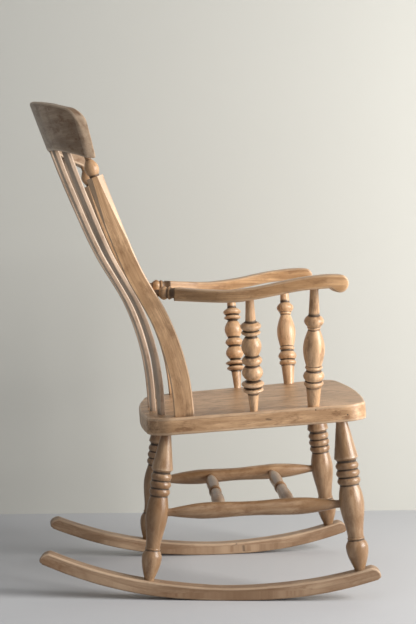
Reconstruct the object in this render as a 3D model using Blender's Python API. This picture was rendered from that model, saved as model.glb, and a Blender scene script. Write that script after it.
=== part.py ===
"""Lath-back rocking armchair, modelled as the separate pieces a chair maker would cut and turn.

Metres, +Z up. The chair faces -Y and +X is the sitter's left. The origin is on the floor, at the
middle of the chair's overall length and width. Every joint is a real one: a turned or squared end
sits in a blind socket that is wider by JOINT_GAP all round.
"""

import math

import bmesh
import bpy
from mathutils import Matrix, Vector

# ---- Driving dimensions (metres, degrees) ------------------------------------------------------

# Seat slab, tilted so that its front edge is higher
SEAT_HEIGHT = 0.402            # top face above the floor, at the middle of the chair
SEAT_THICKNESS = 0.037
SEAT_TILT = 4.5
SEAT_REAR = 0.147              # distance of the rear edge behind the middle
SEAT_FRONT = 0.355             # distance of the front edge ahead of the middle
SEAT_WIDTH_REAR = 0.490        # where the rear corners begin
SEAT_WIDTH_FRONT = 0.552       # where the front corners begin
SEAT_CORNER_REAR = 0.062       # corner radii in plan
SEAT_CORNER_FRONT = 0.050
SEAT_BOW_REAR = 0.013          # how far the end edges bulge in plan
SEAT_BOW_FRONT = 0.012
SEAT_EDGE_ROUND = 0.0035

# Rockers: two curved bars that spread towards the front
ROCKER_THICKNESS = 0.038
ROCKER_DEPTH_MIDDLE = 0.0265   # height of the bar at its lowest point
ROCKER_DEPTH_LEGS = 0.030      # height of the bar from the legs outwards
ROCKER_LOW_POINT = -0.042      # where the bars touch the floor
ROCKER_REACH_REAR = 0.405      # bar length behind and ahead of the low point
ROCKER_REACH_FRONT = 0.333
ROCKER_FLAT_REACH = 0.104      # half length of the flatter middle stretch
ROCKER_FLAT_RADIUS = 1.56
ROCKER_SWELL_REACH = 0.1664    # distance from the low point where the bar reaches its full depth
ROCKER_END_RADIUS = 0.83
ROCKER_NOSE_ROUND = 0.021
ROCKER_HEEL_ROUND = 0.006
ROCKER_ARRIS = 0.003

# Legs: where their axes meet the rockers, and their inset from the seat's sides
LEG_REAR_FOOT = (0.217, 0.126)
LEG_FRONT_FOOT = (0.255, -0.328)
LEG_REAR_TOP_Y = 0.088
LEG_FRONT_TOP_Y = -0.289
LEG_INSET = 0.034
LEG_GIRTH_FRONT = 1.0          # thickness of each leg as a share of the turned pattern
LEG_GIRTH_REAR = 0.90
LEG_SEAT_SOCKET = 0.024
LEG_ROCKER_SOCKET = 0.017
LEG_FOOT_STRAIGHT = 0.004      # plain lengths below and above the turned pattern
LEG_TOP_STRAIGHT = 0.005

# Stretchers: two along the sides, two across between them
SIDE_STRETCHER_REAR_HEIGHT = 0.186
SIDE_STRETCHER_FRONT_HEIGHT = 0.209
SIDE_STRETCHER_SOCKET = 0.020
CROSS_STRETCHER_REAR_Y = -0.030
CROSS_STRETCHER_FRONT_Y = -0.182
CROSS_STRETCHER_SOCKET = 0.011

# Back: two sawn uprights with turned tops, five laths and a curved crest rail
BACK_HEIGHT = 0.511            # seat to the uprights' shoulders
BACK_SETBACK = 0.190           # how far the right upright leans back over that height
BACK_RACK = 0.022              # how much further the left one leans: the old back is racked
UPRIGHT_FOOT_Y = 0.0497
UPRIGHT_INSET = 0.029          # of the upright's axis from the seat's side
UPRIGHT_SPLAY = 0.0265         # how far each upright leans outwards over its height
UPRIGHT_WIDTH = 0.033
UPRIGHT_DEPTH_FOOT = 0.043
UPRIGHT_DEPTH_TOP = 0.0365
UPRIGHT_TENON = (0.021, 0.029, 0.024)
UPRIGHT_ARRIS = 0.0025
UPRIGHT_CHAMFER = 0.0125       # corner cut at the shoulder, fading out below it
UPRIGHT_CHAMFER_SHARE = 0.19   # share of the back height over which it fades
UPRIGHT_THINNED_BY = 0.83      # share of the back height where the upright reaches its slimmer depth
UPRIGHT_CREST_SOCKET = 0.020
POMMEL_HEIGHT = 0.044          # shoulder to the underside of the crest rail

CREST_RADIUS = 0.520           # of the rail's rear face, in plan
CREST_THICKNESS = 0.0195
CREST_LENGTH = 0.556
CREST_RISE = 0.1085            # height of the rail at its middle
CREST_ARCH_TOP = 0.037         # how much higher each long edge is in the middle than at its ends
CREST_ARCH_BOTTOM = 0.030
CREST_CORNER = 0.036
CREST_TAPER = 0.014            # how much shorter the rail is along its lower edge, at each end

LATH_COUNT = 5
LATH_SPACING = 0.083
LATH_WIDTH = 0.030
LATH_THICKNESS = 0.0105
LATH_ARRIS = 0.0015
LATH_FOOT_Y = 0.1203           # of the middle lath
LATH_FOOT_RADIUS = 0.62        # the laths stand on an arc of this radius
LATH_BULGE = 0.0065            # how far the laths stand ahead of the uprights' bend
LATH_BULGE_SKEW = 0.8          # below 1, the bulge is fullest below half height
LATH_SEAT_SOCKET = 0.020
LATH_CREST_SOCKET = 0.016

# Arms and the turned spindles under them
ARM_JOINT_HEIGHT = 0.2650      # above the seat, where the arm meets the upright
ARM_SCROLL_START = 0.252       # distance ahead of the middle where the scroll begins
ARM_STUB_LENGTH = 0.0434       # from the upright's face to the flat body
ARM_NECK_RADIUS = 0.009
ARM_TENON_RADIUS = 0.0075
ARM_TENON_LENGTH = 0.020
ARM_SHOULDER_GAP = 0.0012      # between the stub's shoulder and the upright's curved face
ARM_FLARE_LENGTH = 0.0105      # from the turned stub to the flat body
ARM_CORNER = 0.006
SPINDLE_REAR_FOOT_Y = -0.099
SPINDLE_FRONT_FOOT_Y = -0.227
SPINDLE_REAR_TOP_Y = -0.085
SPINDLE_FRONT_TOP_Y = -0.220
SPINDLE_REAR_INSET = 0.0125
SPINDLE_FRONT_INSET = 0.0185
SPINDLE_SEAT_SOCKET = 0.022
SPINDLE_ARM_SOCKET = 0.013
SPINDLE_STRAIGHT = 0.004       # plain length at each end of the turned pattern

JOINT_GAP = 0.0003             # left all round every joint
OVERSHOOT = 0.03               # how far a cutter stands out of the piece it cuts
SIDES = {"right": -1, "left": 1}

ROUND_SEGMENTS = 12            # around a turned piece
CUTTER_SEGMENTS = 12

# How the back bends: share of the height against share of the setback. The first and last pairs
# only guide the curve's direction at its ends.
BACK_BEND = ((-0.2, 0.0), (0.0, 0.0), (0.2, 0.078), (0.4, 0.265), (0.6, 0.565),
             (0.8, 0.793), (1.0, 1.0), (1.2, 1.18))

# The arm's centreline in plan: share of the flat body's length against distance from the chair's
# centre plane. The joint behind it is tied to the upright.
ARM_PLAN = ((0.0, 0.251), (0.25, 0.283), (0.467, 0.300), (0.777, 0.308), (1.18, 0.309))
# Share of the flat body's length, then the arm's top and bottom faces above the joint's height,
# and its half widths on the outer side and the sitter's side. The scroll follows.
ARM_SECTIONS = (
    (0.000, 0.0120, -0.0160, 0.0150, 0.0240),
    (0.155, 0.0090, -0.0170, 0.0225, 0.0250),
    (0.316, 0.0078, -0.0178, 0.0265, 0.0265),
    (0.413, 0.0105, -0.0165, 0.0270, 0.0270),
    (0.545, 0.0168, -0.0092, 0.0280, 0.0280),
    (0.674, 0.0258, -0.0007, 0.0290, 0.0290),
    (0.803, 0.0343, 0.0073, 0.0300, 0.0300),
    (0.932, 0.0398, 0.0113, 0.0310, 0.0310),
    (1.000, 0.0416, 0.0128, 0.0315, 0.0315),
)
ARM_SCROLL_CENTRE = (0.0185, 0.0228)    # ahead of the flat body, above the joint
ARM_SCROLL_RADIUS = 0.0188
ARM_SCROLL_TURN = (-35, 78)             # degrees over which the scroll curls to its tip
ARM_SCROLL_CORNER_SHARE = 0.9           # largest corner, as a share of the scroll's half height


# ---- Turned patterns ---------------------------------------------------------------------------
# Each element is (shape, length, end radius, bulge); lengths and radii are in metres along the
# pattern and are stretched to the piece's real length.

LEG_PATTERN_FOOT_RADIUS = 0.0121
LEG_PATTERN = (
    ("belly_up", 0.0458, 0.0242, 0),       # egg-shaped foot
    ("belly_down", 0.0165, 0.0172, 0),
    ("bead", 0.0050, 0.0172, 0.0016),
    ("ease", 0.0743, 0.0271, 0),           # long vase
    ("belly_down", 0.0395, 0.0205, 0),
    ("bead", 0.0167, 0.0215, 0.0042),      # three rings
    ("bead", 0.0167, 0.0215, 0.0042),
    ("bead", 0.0167, 0.0205, 0.0042),
    ("cove", 0.0080, 0.0262, 0.0012),
)
LEG_TOP_RADIUS = 0.0127
REAR_SPINDLE_PATTERN = (                   # from the seat upwards
    ("line", 0.0340, 0.0122, 0),
    ("bead", 0.0125, 0.0150, 0.0086),
    ("bead", 0.0125, 0.0116, 0.0112),
    ("bead", 0.0310, 0.0140, 0.0098),
    ("bead", 0.0190, 0.0140, 0.0080),
    ("bead", 0.0400, 0.0110, 0.0092),
    ("bead", 0.0108, 0.0150, 0.0078),
    ("bead", 0.0170, 0.0113, 0.0090),
    ("line", 0.0380, 0.0090, 0),
)
REAR_SPINDLE_FOOT_RADIUS = 0.0084
FRONT_SPINDLE_PATTERN = (                  # from the seat upwards
    ("line", 0.0375, 0.0165, 0),
    ("bead", 0.0120, 0.0172, 0.0042),
    ("bead", 0.0195, 0.0165, 0.0058),
    ("cove", 0.0050, 0.0172, 0.0010),
    ("bead", 0.0055, 0.0165, 0.0020),
    ("belly_up", 0.0340, 0.0232, 0),       # vase
    ("belly_down", 0.0400, 0.0122, 0),
    ("bead", 0.0055, 0.0140, 0.0012),
    ("bead", 0.0225, 0.0118, 0.0082),
    ("line", 0.0480, 0.0091, 0),
)
FRONT_SPINDLE_FOOT_RADIUS = 0.0127
SIDE_STRETCHER_END_RADIUS = 0.0085
SIDE_STRETCHER_PATTERN = (                 # from the rear leg forwards
    ("line", 0.0060, SIDE_STRETCHER_END_RADIUS, 0),
    ("belly_up", 0.0950, 0.0178, 0),
    ("ease", 0.0900, 0.0155, 0),
    ("ease", 0.1050, 0.0185, 0),
    ("belly_down", 0.0980, SIDE_STRETCHER_END_RADIUS, 0),
    ("line", 0.0060, SIDE_STRETCHER_END_RADIUS, 0),
)
CROSS_STRETCHER_END_RADIUS = 0.0075
CROSS_STRETCHER_PATTERN = (
    ("line", 0.0070, CROSS_STRETCHER_END_RADIUS, 0),
    ("belly_up", 0.0800, 0.0145, 0),
    ("belly_down", 0.0900, 0.0115, 0),
    ("bead", 0.0090, 0.0095, 0.0040),
    ("bead", 0.0090, 0.0115, 0.0040),
    ("belly_up", 0.0900, 0.0145, 0),
    ("belly_down", 0.0800, CROSS_STRETCHER_END_RADIUS, 0),
    ("line", 0.0070, CROSS_STRETCHER_END_RADIUS, 0),
)
POMMEL_NECK_RADIUS = 0.0066
POMMEL_COLLAR_RADIUS = 0.0105
POMMEL_BALL_RADIUS = 0.0155
# The arm's stub: bulges are what the beads stand out beyond their ends
ARM_STUB_PATTERN = (
    ("line", 0.0002, ARM_NECK_RADIUS, 0),
    ("bead", 0.0190, 0.0110, 0.0045),
    ("bead", 0.0080, 0.0125, 0.0023),
)
POMMEL_PATTERN = (
    ("line", 0.0005, POMMEL_COLLAR_RADIUS, 0),
    ("line", 0.0030, POMMEL_COLLAR_RADIUS, 0),
    ("belly_up", 0.0150, POMMEL_BALL_RADIUS, 0),
    ("belly_down", 0.0190, POMMEL_NECK_RADIUS, 0),
    ("line", 0.0080, POMMEL_NECK_RADIUS, 0),
)
ELEMENT_STEPS = {"line": 1, "bead": 4, "cove": 3, "ease": 5, "belly_up": 4, "belly_down": 4}

# Colour and roughness of each kind of wood surface, in linear RGB
SEAT_FINISH = ((0.42, 0.27, 0.16), 0.48)
TURNED_FINISH = ((0.44, 0.26, 0.13), 0.38)
SAWN_FINISH = ((0.46, 0.28, 0.15), 0.45)
LATH_FINISH = ((0.43, 0.30, 0.21), 0.50)


# ---- Curves and frames -------------------------------------------------------------------------

def spline(points, position):
    """Catmull-Rom curve through points, read at a value of their first number."""
    last = len(points) - 3
    forwards = points[-1][0] > points[0][0]
    index = 1
    while index < last and (position > points[index + 1][0]) == forwards:
        index += 1
    before, start, end, after = points[index - 1:index + 3]
    span = end[0] - start[0]
    share = (position - start[0]) / span
    slope_start = (end[1] - before[1]) / (end[0] - before[0]) * span
    slope_end = (after[1] - start[1]) / (after[0] - start[0]) * span
    cube = share ** 3
    square = share ** 2
    return ((2 * cube - 3 * square + 1) * start[1] + (cube - 2 * square + share) * slope_start
            + (3 * square - 2 * cube) * end[1] + (cube - square) * slope_end)


def smooth_step(share):
    """Rises from 0 to 1 with level ends."""
    share = min(max(share, 0.0), 1.0)
    return share * share * (3 - 2 * share)


def arc_sag(offset, radius):
    """How far a circle of this radius falls back at a distance from its middle."""
    return radius - math.sqrt(radius * radius - offset * offset)


def frame_along(direction, across):
    """Rotation whose Z follows direction and whose X lies as near to across as it can."""
    axis_z = direction.normalized()
    axis_x = (across - across.dot(axis_z) * axis_z).normalized()
    axis_y = axis_z.cross(axis_x)
    return Matrix((axis_x, axis_y, axis_z)).transposed()


def seat_top(x, y):
    """Point on the seat's top face."""
    return Vector((x, y, SEAT_HEIGHT - math.tan(math.radians(SEAT_TILT)) * y))


def seat_normal():
    """Direction in which the seat's top face points."""
    tilt = math.radians(SEAT_TILT)
    return Vector((0, math.sin(tilt), math.cos(tilt)))


def seat_under(x, y):
    """Point on the seat's underside, straight below or above that place."""
    drop = SEAT_THICKNESS / math.cos(math.radians(SEAT_TILT))
    return seat_top(x, y) - Vector((0, 0, drop))


def seat_half_width(y):
    """Distance of the seat's side edge from the chair's centre plane."""
    share = (SEAT_REAR - y) / (SEAT_REAR + SEAT_FRONT)
    return (SEAT_WIDTH_REAR + share * (SEAT_WIDTH_FRONT - SEAT_WIDTH_REAR)) / 2


# ---- Mesh helpers ------------------------------------------------------------------------------

def rounded_ring(low, high, corner, points_per_corner):
    """Closed outline of a rectangle between two (x, y) corners with rounded corners."""
    step = math.pi / 2 / points_per_corner
    centres = ((high[0] - corner, high[1] - corner), (low[0] + corner, high[1] - corner),
               (low[0] + corner, low[1] + corner), (high[0] - corner, low[1] + corner))
    ring = []
    for quarter, centre in enumerate(centres):
        for index in range(points_per_corner):
            angle = quarter * math.pi / 2 + (index + 0.5) * step
            ring.append((centre[0] + corner * math.cos(angle), centre[1] + corner * math.sin(angle)))
    return ring


def centred_ring(width, depth, corner, points_per_corner):
    """Rounded rectangle about its own middle."""
    half = (width / 2, depth / 2)
    return rounded_ring((-half[0], -half[1]), half, corner, points_per_corner)


def circle_ring(radius, points):
    """Regular outline with as many points as the rounded rectangles it joins."""
    return centred_ring(2 * radius, 2 * radius, radius, points // 4)


def lift(ring, origin, rotation):
    """Places a flat outline in space."""
    return [origin + rotation @ Vector((x, y, 0)) for x, y in ring]


def add_loft(mesh, rings):
    """Adds one closed body to a bmesh: a skin over a row of outlines, with flat ends."""
    loops = [[mesh.verts.new(point) for point in ring] for ring in rings]
    count = len(loops[0])
    faces = []
    for lower, upper in zip(loops, loops[1:]):
        for index in range(count):
            after = (index + 1) % count
            faces.append(mesh.faces.new((lower[index], lower[after], upper[after], upper[index])))
    faces.append(mesh.faces.new(loops[0][::-1]))
    faces.append(mesh.faces.new(loops[-1]))
    bmesh.ops.recalc_face_normals(mesh, faces=faces)


def add_rod(mesh, start, end, radius):
    """Adds a round cutter between two points, whose flats lie at the radius."""
    rotation = frame_along(end - start, Vector((1, 0.3, 0.2)))
    ring = circle_ring(radius / math.cos(math.pi / CUTTER_SEGMENTS), CUTTER_SEGMENTS)
    add_loft(mesh, [lift(ring, start, rotation), lift(ring, end, rotation)])


def add_bar(mesh, start, end, across, width, depth):
    """Adds a square-edged cutter between two points, its width lying along across."""
    rotation = frame_along(end - start, across)
    half_width = width / 2
    half_depth = depth / 2
    ring = [(half_width, half_depth), (-half_width, half_depth), (-half_width, -half_depth),
            (half_width, -half_depth)]
    add_loft(mesh, [lift(ring, start, rotation), lift(ring, end, rotation)])


def add_object(name, mesh):
    """Turns a bmesh into a named object."""
    data = bpy.data.meshes.new(name)
    mesh.to_mesh(data)
    mesh.free()
    thing = bpy.data.objects.new(name, data)
    bpy.context.scene.collection.objects.link(thing)
    return thing


def move_origin(thing, location, rotation=None):
    """Gives an object its place and turn without moving its surface."""
    turn = rotation.to_quaternion() if rotation else Matrix.Identity(3).to_quaternion()
    place = Matrix.LocRotScale(location, turn, None)
    thing.data.transform(place.inverted())
    thing.matrix_world = place


def wood_material(name, finish):
    """Waxed wood in one even tone."""
    colour, roughness = finish
    material = bpy.data.materials.new(name)
    material.use_nodes = True
    surface = material.node_tree.nodes["Principled BSDF"]
    surface.inputs["Base Color"].default_value = (*colour, 1)
    surface.inputs["Roughness"].default_value = roughness
    surface.inputs["Metallic"].default_value = 0
    return material


def finish_part(thing, finish, chair, smooth_angle=35):
    """Gives a piece its wood, its shading and its place in the chair."""
    thing.data.materials.append(wood_material(thing.name + "_wood", finish))
    thing.data.shade_smooth()
    thing.data.set_sharp_from_angle(angle=math.radians(smooth_angle))
    thing.parent = chair


def cut_sockets(part, chair, mesh):
    """Cuts every socket of a piece in one step."""
    cutter = add_object(part.name + "_sockets", mesh)
    cutter.hide_render = True
    cutter.display_type = "WIRE"
    cutter.parent = chair
    cut = part.modifiers.new("sockets", "BOOLEAN")
    cut.operation = "DIFFERENCE"
    cut.solver = "EXACT"
    cut.object = cutter


# ---- Turning -----------------------------------------------------------------------------------

def element_radius(shape, share, start, end, bulge):
    """Radius part of the way along one element of a turned pattern."""
    straight = start + (end - start) * share
    if shape == "bead":
        return straight + bulge * math.sin(math.pi * share)
    if shape == "cove":
        return straight - bulge * math.sin(math.pi * share)
    if shape == "ease":
        return start + (end - start) * smooth_step(share)
    if shape == "belly_up":
        return start + (end - start) * math.sin(math.pi / 2 * share)
    if shape == "belly_down":
        return end + (start - end) * math.cos(math.pi / 2 * share)
    return straight


def pattern_points(start_radius, pattern, length, girth=1.0):
    """(height, radius) points of a pattern stretched to a length."""
    stretch = length / sum(element[1] for element in pattern)
    points = [(0.0, start_radius * girth)]
    height = 0.0
    radius = start_radius
    for shape, span, end_radius, bulge in pattern:
        steps = ELEMENT_STEPS[shape]
        for step in range(1, steps + 1):
            share = step / steps
            reached = element_radius(shape, share, radius, end_radius, bulge)
            points.append(((height + span * share) * stretch, reached * girth))
        height += span
        radius = end_radius
    return points


def radius_at(points, height):
    """Radius of a turned piece at a height."""
    for lower, upper in zip(points, points[1:]):
        if lower[0] <= height <= upper[0]:
            share = (height - lower[0]) / (upper[0] - lower[0])
            return lower[1] + share * (upper[1] - lower[1])
    return points[-1][1]


def turned_part(name, points, start, end):
    """Turned piece whose pattern's zero height is at start and whose axis points to end."""
    rings = [[Vector((x, y, height)) for x, y in circle_ring(radius, ROUND_SEGMENTS)]
             for height, radius in points]
    mesh = bmesh.new()
    add_loft(mesh, rings)
    part = add_object(name, mesh)
    rotation = frame_along(end - start, Vector((1, 1, 0)))
    part.matrix_world = Matrix.LocRotScale(start, rotation.to_quaternion(), None)
    return part


# ---- Rockers -----------------------------------------------------------------------------------

def rocker_turn():
    """Angle in plan by which a rocker spreads towards the front."""
    spread = LEG_FRONT_FOOT[0] - LEG_REAR_FOOT[0]
    return math.atan2(spread, LEG_REAR_FOOT[1] - LEG_FRONT_FOOT[1])


def rocker_middle(side):
    """Point on the floor under the middle of a rocker, at its low point."""
    x = LEG_REAR_FOOT[0] + (LEG_REAR_FOOT[1] - ROCKER_LOW_POINT) * math.tan(rocker_turn())
    return Vector((side * x, ROCKER_LOW_POINT, 0))


def rocker_bottom(along):
    """Height of the rocker's running edge: a flat arc that tightens towards both ends."""
    reach = abs(along)
    if reach <= ROCKER_FLAT_REACH:
        return arc_sag(reach, ROCKER_FLAT_RADIUS)
    slope = ROCKER_FLAT_REACH / ROCKER_FLAT_RADIUS
    beyond = reach - ROCKER_FLAT_REACH
    start = arc_sag(ROCKER_FLAT_REACH, ROCKER_FLAT_RADIUS)
    return start + slope * beyond + beyond ** 2 / (2 * ROCKER_END_RADIUS)


def rocker_top(along):
    """Height of the rocker's upper edge."""
    swell = smooth_step(abs(along) / ROCKER_SWELL_REACH)
    depth = ROCKER_DEPTH_MIDDLE + swell * (ROCKER_DEPTH_LEGS - ROCKER_DEPTH_MIDDLE)
    return rocker_bottom(along) + depth


def rocker_outline():
    """Side outline of a rocker, with a long rounded nose above each end's small rounded heel."""
    steps = 22
    near = -ROCKER_REACH_FRONT
    far = ROCKER_REACH_REAR
    bottom_start = near + ROCKER_HEEL_ROUND
    bottom_end = far - ROCKER_HEEL_ROUND
    top_start = near + ROCKER_NOSE_ROUND
    top_end = far - ROCKER_NOSE_ROUND
    outline = []
    for step in range(steps + 1):
        along = bottom_start + (bottom_end - bottom_start) * step / steps
        outline.append((along, rocker_bottom(along)))
    outline += nose(far, -1)
    for step in range(steps + 1):
        along = top_end + (top_start - top_end) * step / steps
        outline.append((along, rocker_top(along)))
    outline += reversed(nose(near, 1))
    return outline


def nose(tip, inward):
    """Rounded end of the rocker's outline, from just above its heel to just before its top edge."""
    heel = rocker_bottom(tip) + ROCKER_HEEL_ROUND
    crown = rocker_top(tip + inward * ROCKER_NOSE_ROUND)
    points = [(tip, heel)]
    steps = 4
    for step in range(1, steps):
        angle = math.pi / 2 * step / steps
        points.append((tip + inward * ROCKER_NOSE_ROUND * (1 - math.cos(angle)),
                       heel + (crown - heel) * math.sin(angle)))
    return points


def make_rocker(name, side, chair):
    """Curved bar, cut from a plank, with its long edges eased."""
    mesh = bmesh.new()
    half = ROCKER_THICKNESS / 2
    rings = [[Vector((x, along, height)) for along, height in rocker_outline()] for x in (-half, half)]
    add_loft(mesh, rings)
    rims = [edge for edge in mesh.edges if abs(edge.verts[0].co.x - edge.verts[1].co.x) < half]
    bmesh.ops.bevel(mesh, geom=rims, offset=ROCKER_ARRIS, segments=2, profile=0.5, affect="EDGES")
    rocker = add_object(name, mesh)
    rocker.matrix_world = Matrix.LocRotScale(
        rocker_middle(side), Matrix.Rotation(side * rocker_turn(), 3, "Z").to_quaternion(), None)
    finish_part(rocker, SAWN_FINISH, chair)
    return rocker


# ---- Seat --------------------------------------------------------------------------------------

def rounded_corner(before, corner, after, radius, steps):
    """Points of a round corner between two straight edges."""
    to_before = (before - corner).normalized()
    to_after = (after - corner).normalized()
    half_angle = to_before.angle(to_after) / 2
    reach = radius / math.tan(half_angle)
    centre = corner + (to_before + to_after).normalized() * radius / math.sin(half_angle)
    first = corner + to_before * reach - centre
    last = corner + to_after * reach - centre
    turn = first.angle_signed(last)
    points = []
    for step in range(steps + 1):
        angle = -turn * step / steps
        points.append(centre + Matrix.Rotation(angle, 2) @ first)
    return points


def bowed_edge(start, end, bow, steps):
    """Points between two corners on an edge that bulges to its right-hand side."""
    along = end - start
    outward = Vector((along.y, -along.x)).normalized()
    points = []
    for step in range(1, steps):
        share = step / steps
        points.append(start + along * share + outward * bow * 4 * share * (1 - share))
    return points


def seat_outline():
    """Plan of the seat, counter-clockwise from its front right corner."""
    front_y = -SEAT_FRONT + SEAT_BOW_FRONT
    rear_y = SEAT_REAR - SEAT_BOW_REAR
    front_right = Vector((-seat_half_width(front_y), front_y))
    front_left = Vector((seat_half_width(front_y), front_y))
    rear_left = Vector((seat_half_width(rear_y), rear_y))
    rear_right = Vector((-seat_half_width(rear_y), rear_y))
    corner_steps = 7
    edge_steps = 7
    corners = [rounded_corner(rear_right, front_right, front_left, SEAT_CORNER_FRONT, corner_steps),
               rounded_corner(front_right, front_left, rear_left, SEAT_CORNER_FRONT, corner_steps),
               rounded_corner(front_left, rear_left, rear_right, SEAT_CORNER_REAR, corner_steps),
               rounded_corner(rear_left, rear_right, front_right, SEAT_CORNER_REAR, corner_steps)]
    outline = corners[0] + bowed_edge(corners[0][-1], corners[1][0], SEAT_BOW_FRONT, edge_steps)
    outline += corners[1] + corners[2]
    outline += bowed_edge(corners[2][-1], corners[3][0], SEAT_BOW_REAR, edge_steps) + corners[3]
    return outline


def make_seat(chair):
    """Thick plank with rounded corners and eased edges, tilted back."""
    mesh = bmesh.new()
    outline = seat_outline()
    rings = [[Vector((point.x, point.y, height)) for point in outline] for height in (-SEAT_THICKNESS, 0)]
    add_loft(mesh, rings)
    rims = [edge for edge in mesh.edges if edge.verts[0].co.z == edge.verts[1].co.z]
    bmesh.ops.bevel(mesh, geom=rims, offset=SEAT_EDGE_ROUND, segments=2, profile=0.5, affect="EDGES")
    seat = add_object("seat", mesh)
    tilt = Matrix.Rotation(-math.radians(SEAT_TILT), 3, "X")
    seat.matrix_world = Matrix.LocRotScale(Vector((0, 0, SEAT_HEIGHT)), tilt.to_quaternion(), None)
    finish_part(seat, SEAT_FINISH, chair)
    return seat


# ---- Legs --------------------------------------------------------------------------------------

class Leg:
    """Axis and turned pattern of one leg, from the rocker's top to the seat's underside."""

    def __init__(self, side, foot, top_y, girth):
        along = (foot[1] - ROCKER_LOW_POINT) / math.cos(rocker_turn())
        self.start = Vector((side * foot[0], foot[1], rocker_top(along)))
        self.end = seat_under(side * (seat_half_width(top_y) - LEG_INSET), top_y)
        self.direction = (self.end - self.start).normalized()
        self.length = (self.end - self.start).length
        self.foot_radius = LEG_PATTERN_FOOT_RADIUS * girth
        self.top_radius = LEG_TOP_RADIUS * girth
        turned = self.length - LEG_FOOT_STRAIGHT - LEG_TOP_STRAIGHT
        shaft_length = turned - sum(element[1] for element in LEG_PATTERN)
        pattern = LEG_PATTERN + (("line", shaft_length, LEG_TOP_RADIUS, 0),)
        points = pattern_points(LEG_PATTERN_FOOT_RADIUS, pattern, turned, girth)
        self.points = [(height + LEG_FOOT_STRAIGHT, radius) for height, radius in points]

    def profile(self):
        """Whole profile with the plain ends that sit in the rocker and the seat."""
        return ([(-LEG_ROCKER_SOCKET, self.foot_radius)] + self.points
                + [(self.length + LEG_SEAT_SOCKET, self.top_radius)])

    def point_at(self, height):
        """Point on the axis at a world height."""
        return self.start + self.direction * ((height - self.start.z) / self.direction.z)

    def radius_near(self, point):
        """Radius of the leg where its axis passes a point."""
        return radius_at(self.points, (point - self.start).length)


def make_leg(name, leg, chair):
    """Turned leg."""
    part = turned_part(name, leg.profile(), leg.start, leg.end)
    finish_part(part, TURNED_FINISH, chair)
    return part


# ---- Stretchers --------------------------------------------------------------------------------

class Stretcher:
    """Turned bar between two turned pieces, with a plain end socketed into each."""

    def __init__(self, start, end, start_cover, end_cover, end_radius, pattern, socket):
        self.direction = (end - start).normalized()
        self.start = start + self.direction * start_cover
        self.end = end - self.direction * end_cover
        self.length = (self.end - self.start).length
        self.radius = end_radius
        self.socket = socket
        self.points = pattern_points(end_radius, pattern, self.length)

    def profile(self):
        """Whole profile with both plain ends."""
        return ([(-self.socket, self.radius)] + self.points[1:-1]
                + [(self.length + self.socket, self.radius)])

    def add_cutters(self, mesh, at_start):
        """Adds the cutter of the socket at one end."""
        add_socket(mesh, self.start if at_start else self.end,
                   -self.direction if at_start else self.direction, self.socket, self.radius)


def add_socket(mesh, mouth, inward, depth, radius):
    """Adds a round cutter for a blind socket, a little wider and deeper than what it holds."""
    add_rod(mesh, mouth - inward * OVERSHOOT, mouth + inward * (depth + JOINT_GAP), radius + JOINT_GAP)


def side_stretcher(rear_leg, front_leg):
    """Bar between the legs of one side."""
    start = rear_leg.point_at(SIDE_STRETCHER_REAR_HEIGHT)
    end = front_leg.point_at(SIDE_STRETCHER_FRONT_HEIGHT)
    return Stretcher(start, end, rear_leg.radius_near(start), front_leg.radius_near(end),
                     SIDE_STRETCHER_END_RADIUS, SIDE_STRETCHER_PATTERN, SIDE_STRETCHER_SOCKET)


def cross_stretcher(bars, y):
    """Bar between the two side stretchers, at a distance behind the middle."""
    points = []
    covers = []
    for side in ("right", "left"):
        bar = bars[side]
        reach = (y - bar.start.y) / bar.direction.y
        points.append(bar.start + bar.direction * reach)
        covers.append(radius_at(bar.points, reach))
    return Stretcher(points[0], points[1], covers[0], covers[1],
                     CROSS_STRETCHER_END_RADIUS, CROSS_STRETCHER_PATTERN, CROSS_STRETCHER_SOCKET)


def make_stretcher(name, bar, chair):
    """Turned stretcher."""
    part = turned_part(name, bar.profile(), bar.start, bar.end)
    finish_part(part, TURNED_FINISH, chair)
    return part


# ---- Back --------------------------------------------------------------------------------------

class Upright:
    """Centreline of a back upright: sawn to a bend, then straight through its turned top."""

    def __init__(self, side):
        self.side = side
        self.setback = BACK_SETBACK + (BACK_RACK if side > 0 else 0)
        self.foot = seat_top(side * (seat_half_width(UPRIGHT_FOOT_Y) - UPRIGHT_INSET), UPRIGHT_FOOT_Y)
        self.top = self.point_at(1.0)
        self.top_direction = (self.point_at(1.0) - self.point_at(0.99)).normalized()

    def point_at(self, share):
        """Point on the centreline at a share of the back's height."""
        return self.foot + Vector((self.side * UPRIGHT_SPLAY * share,
                                   self.setback * spline(BACK_BEND, share), BACK_HEIGHT * share))

    def direction_at(self, share):
        """Direction of the centreline there."""
        step = 0.01
        return (self.point_at(share + step) - self.point_at(share - step)).normalized()

    def depth_at(self, share):
        """Front to back size of the upright there, square to its centreline."""
        thinned = smooth_step(share / UPRIGHT_THINNED_BY)
        return UPRIGHT_DEPTH_FOOT + (UPRIGHT_DEPTH_TOP - UPRIGHT_DEPTH_FOOT) * thinned

    def front_at(self, height):
        """Point on the middle of the front face, at a height above the seat."""
        share = height / BACK_HEIGHT
        lean = self.direction_at(share)
        axis = self.point_at(share)
        return axis - Vector((0, self.depth_at(share) / 2 * math.hypot(lean.y, lean.z) / lean.z, 0))

    def crest_seat(self):
        """Point where the turned top enters the crest rail."""
        return self.top + self.top_direction * (POMMEL_HEIGHT / self.top_direction.z)


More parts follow.
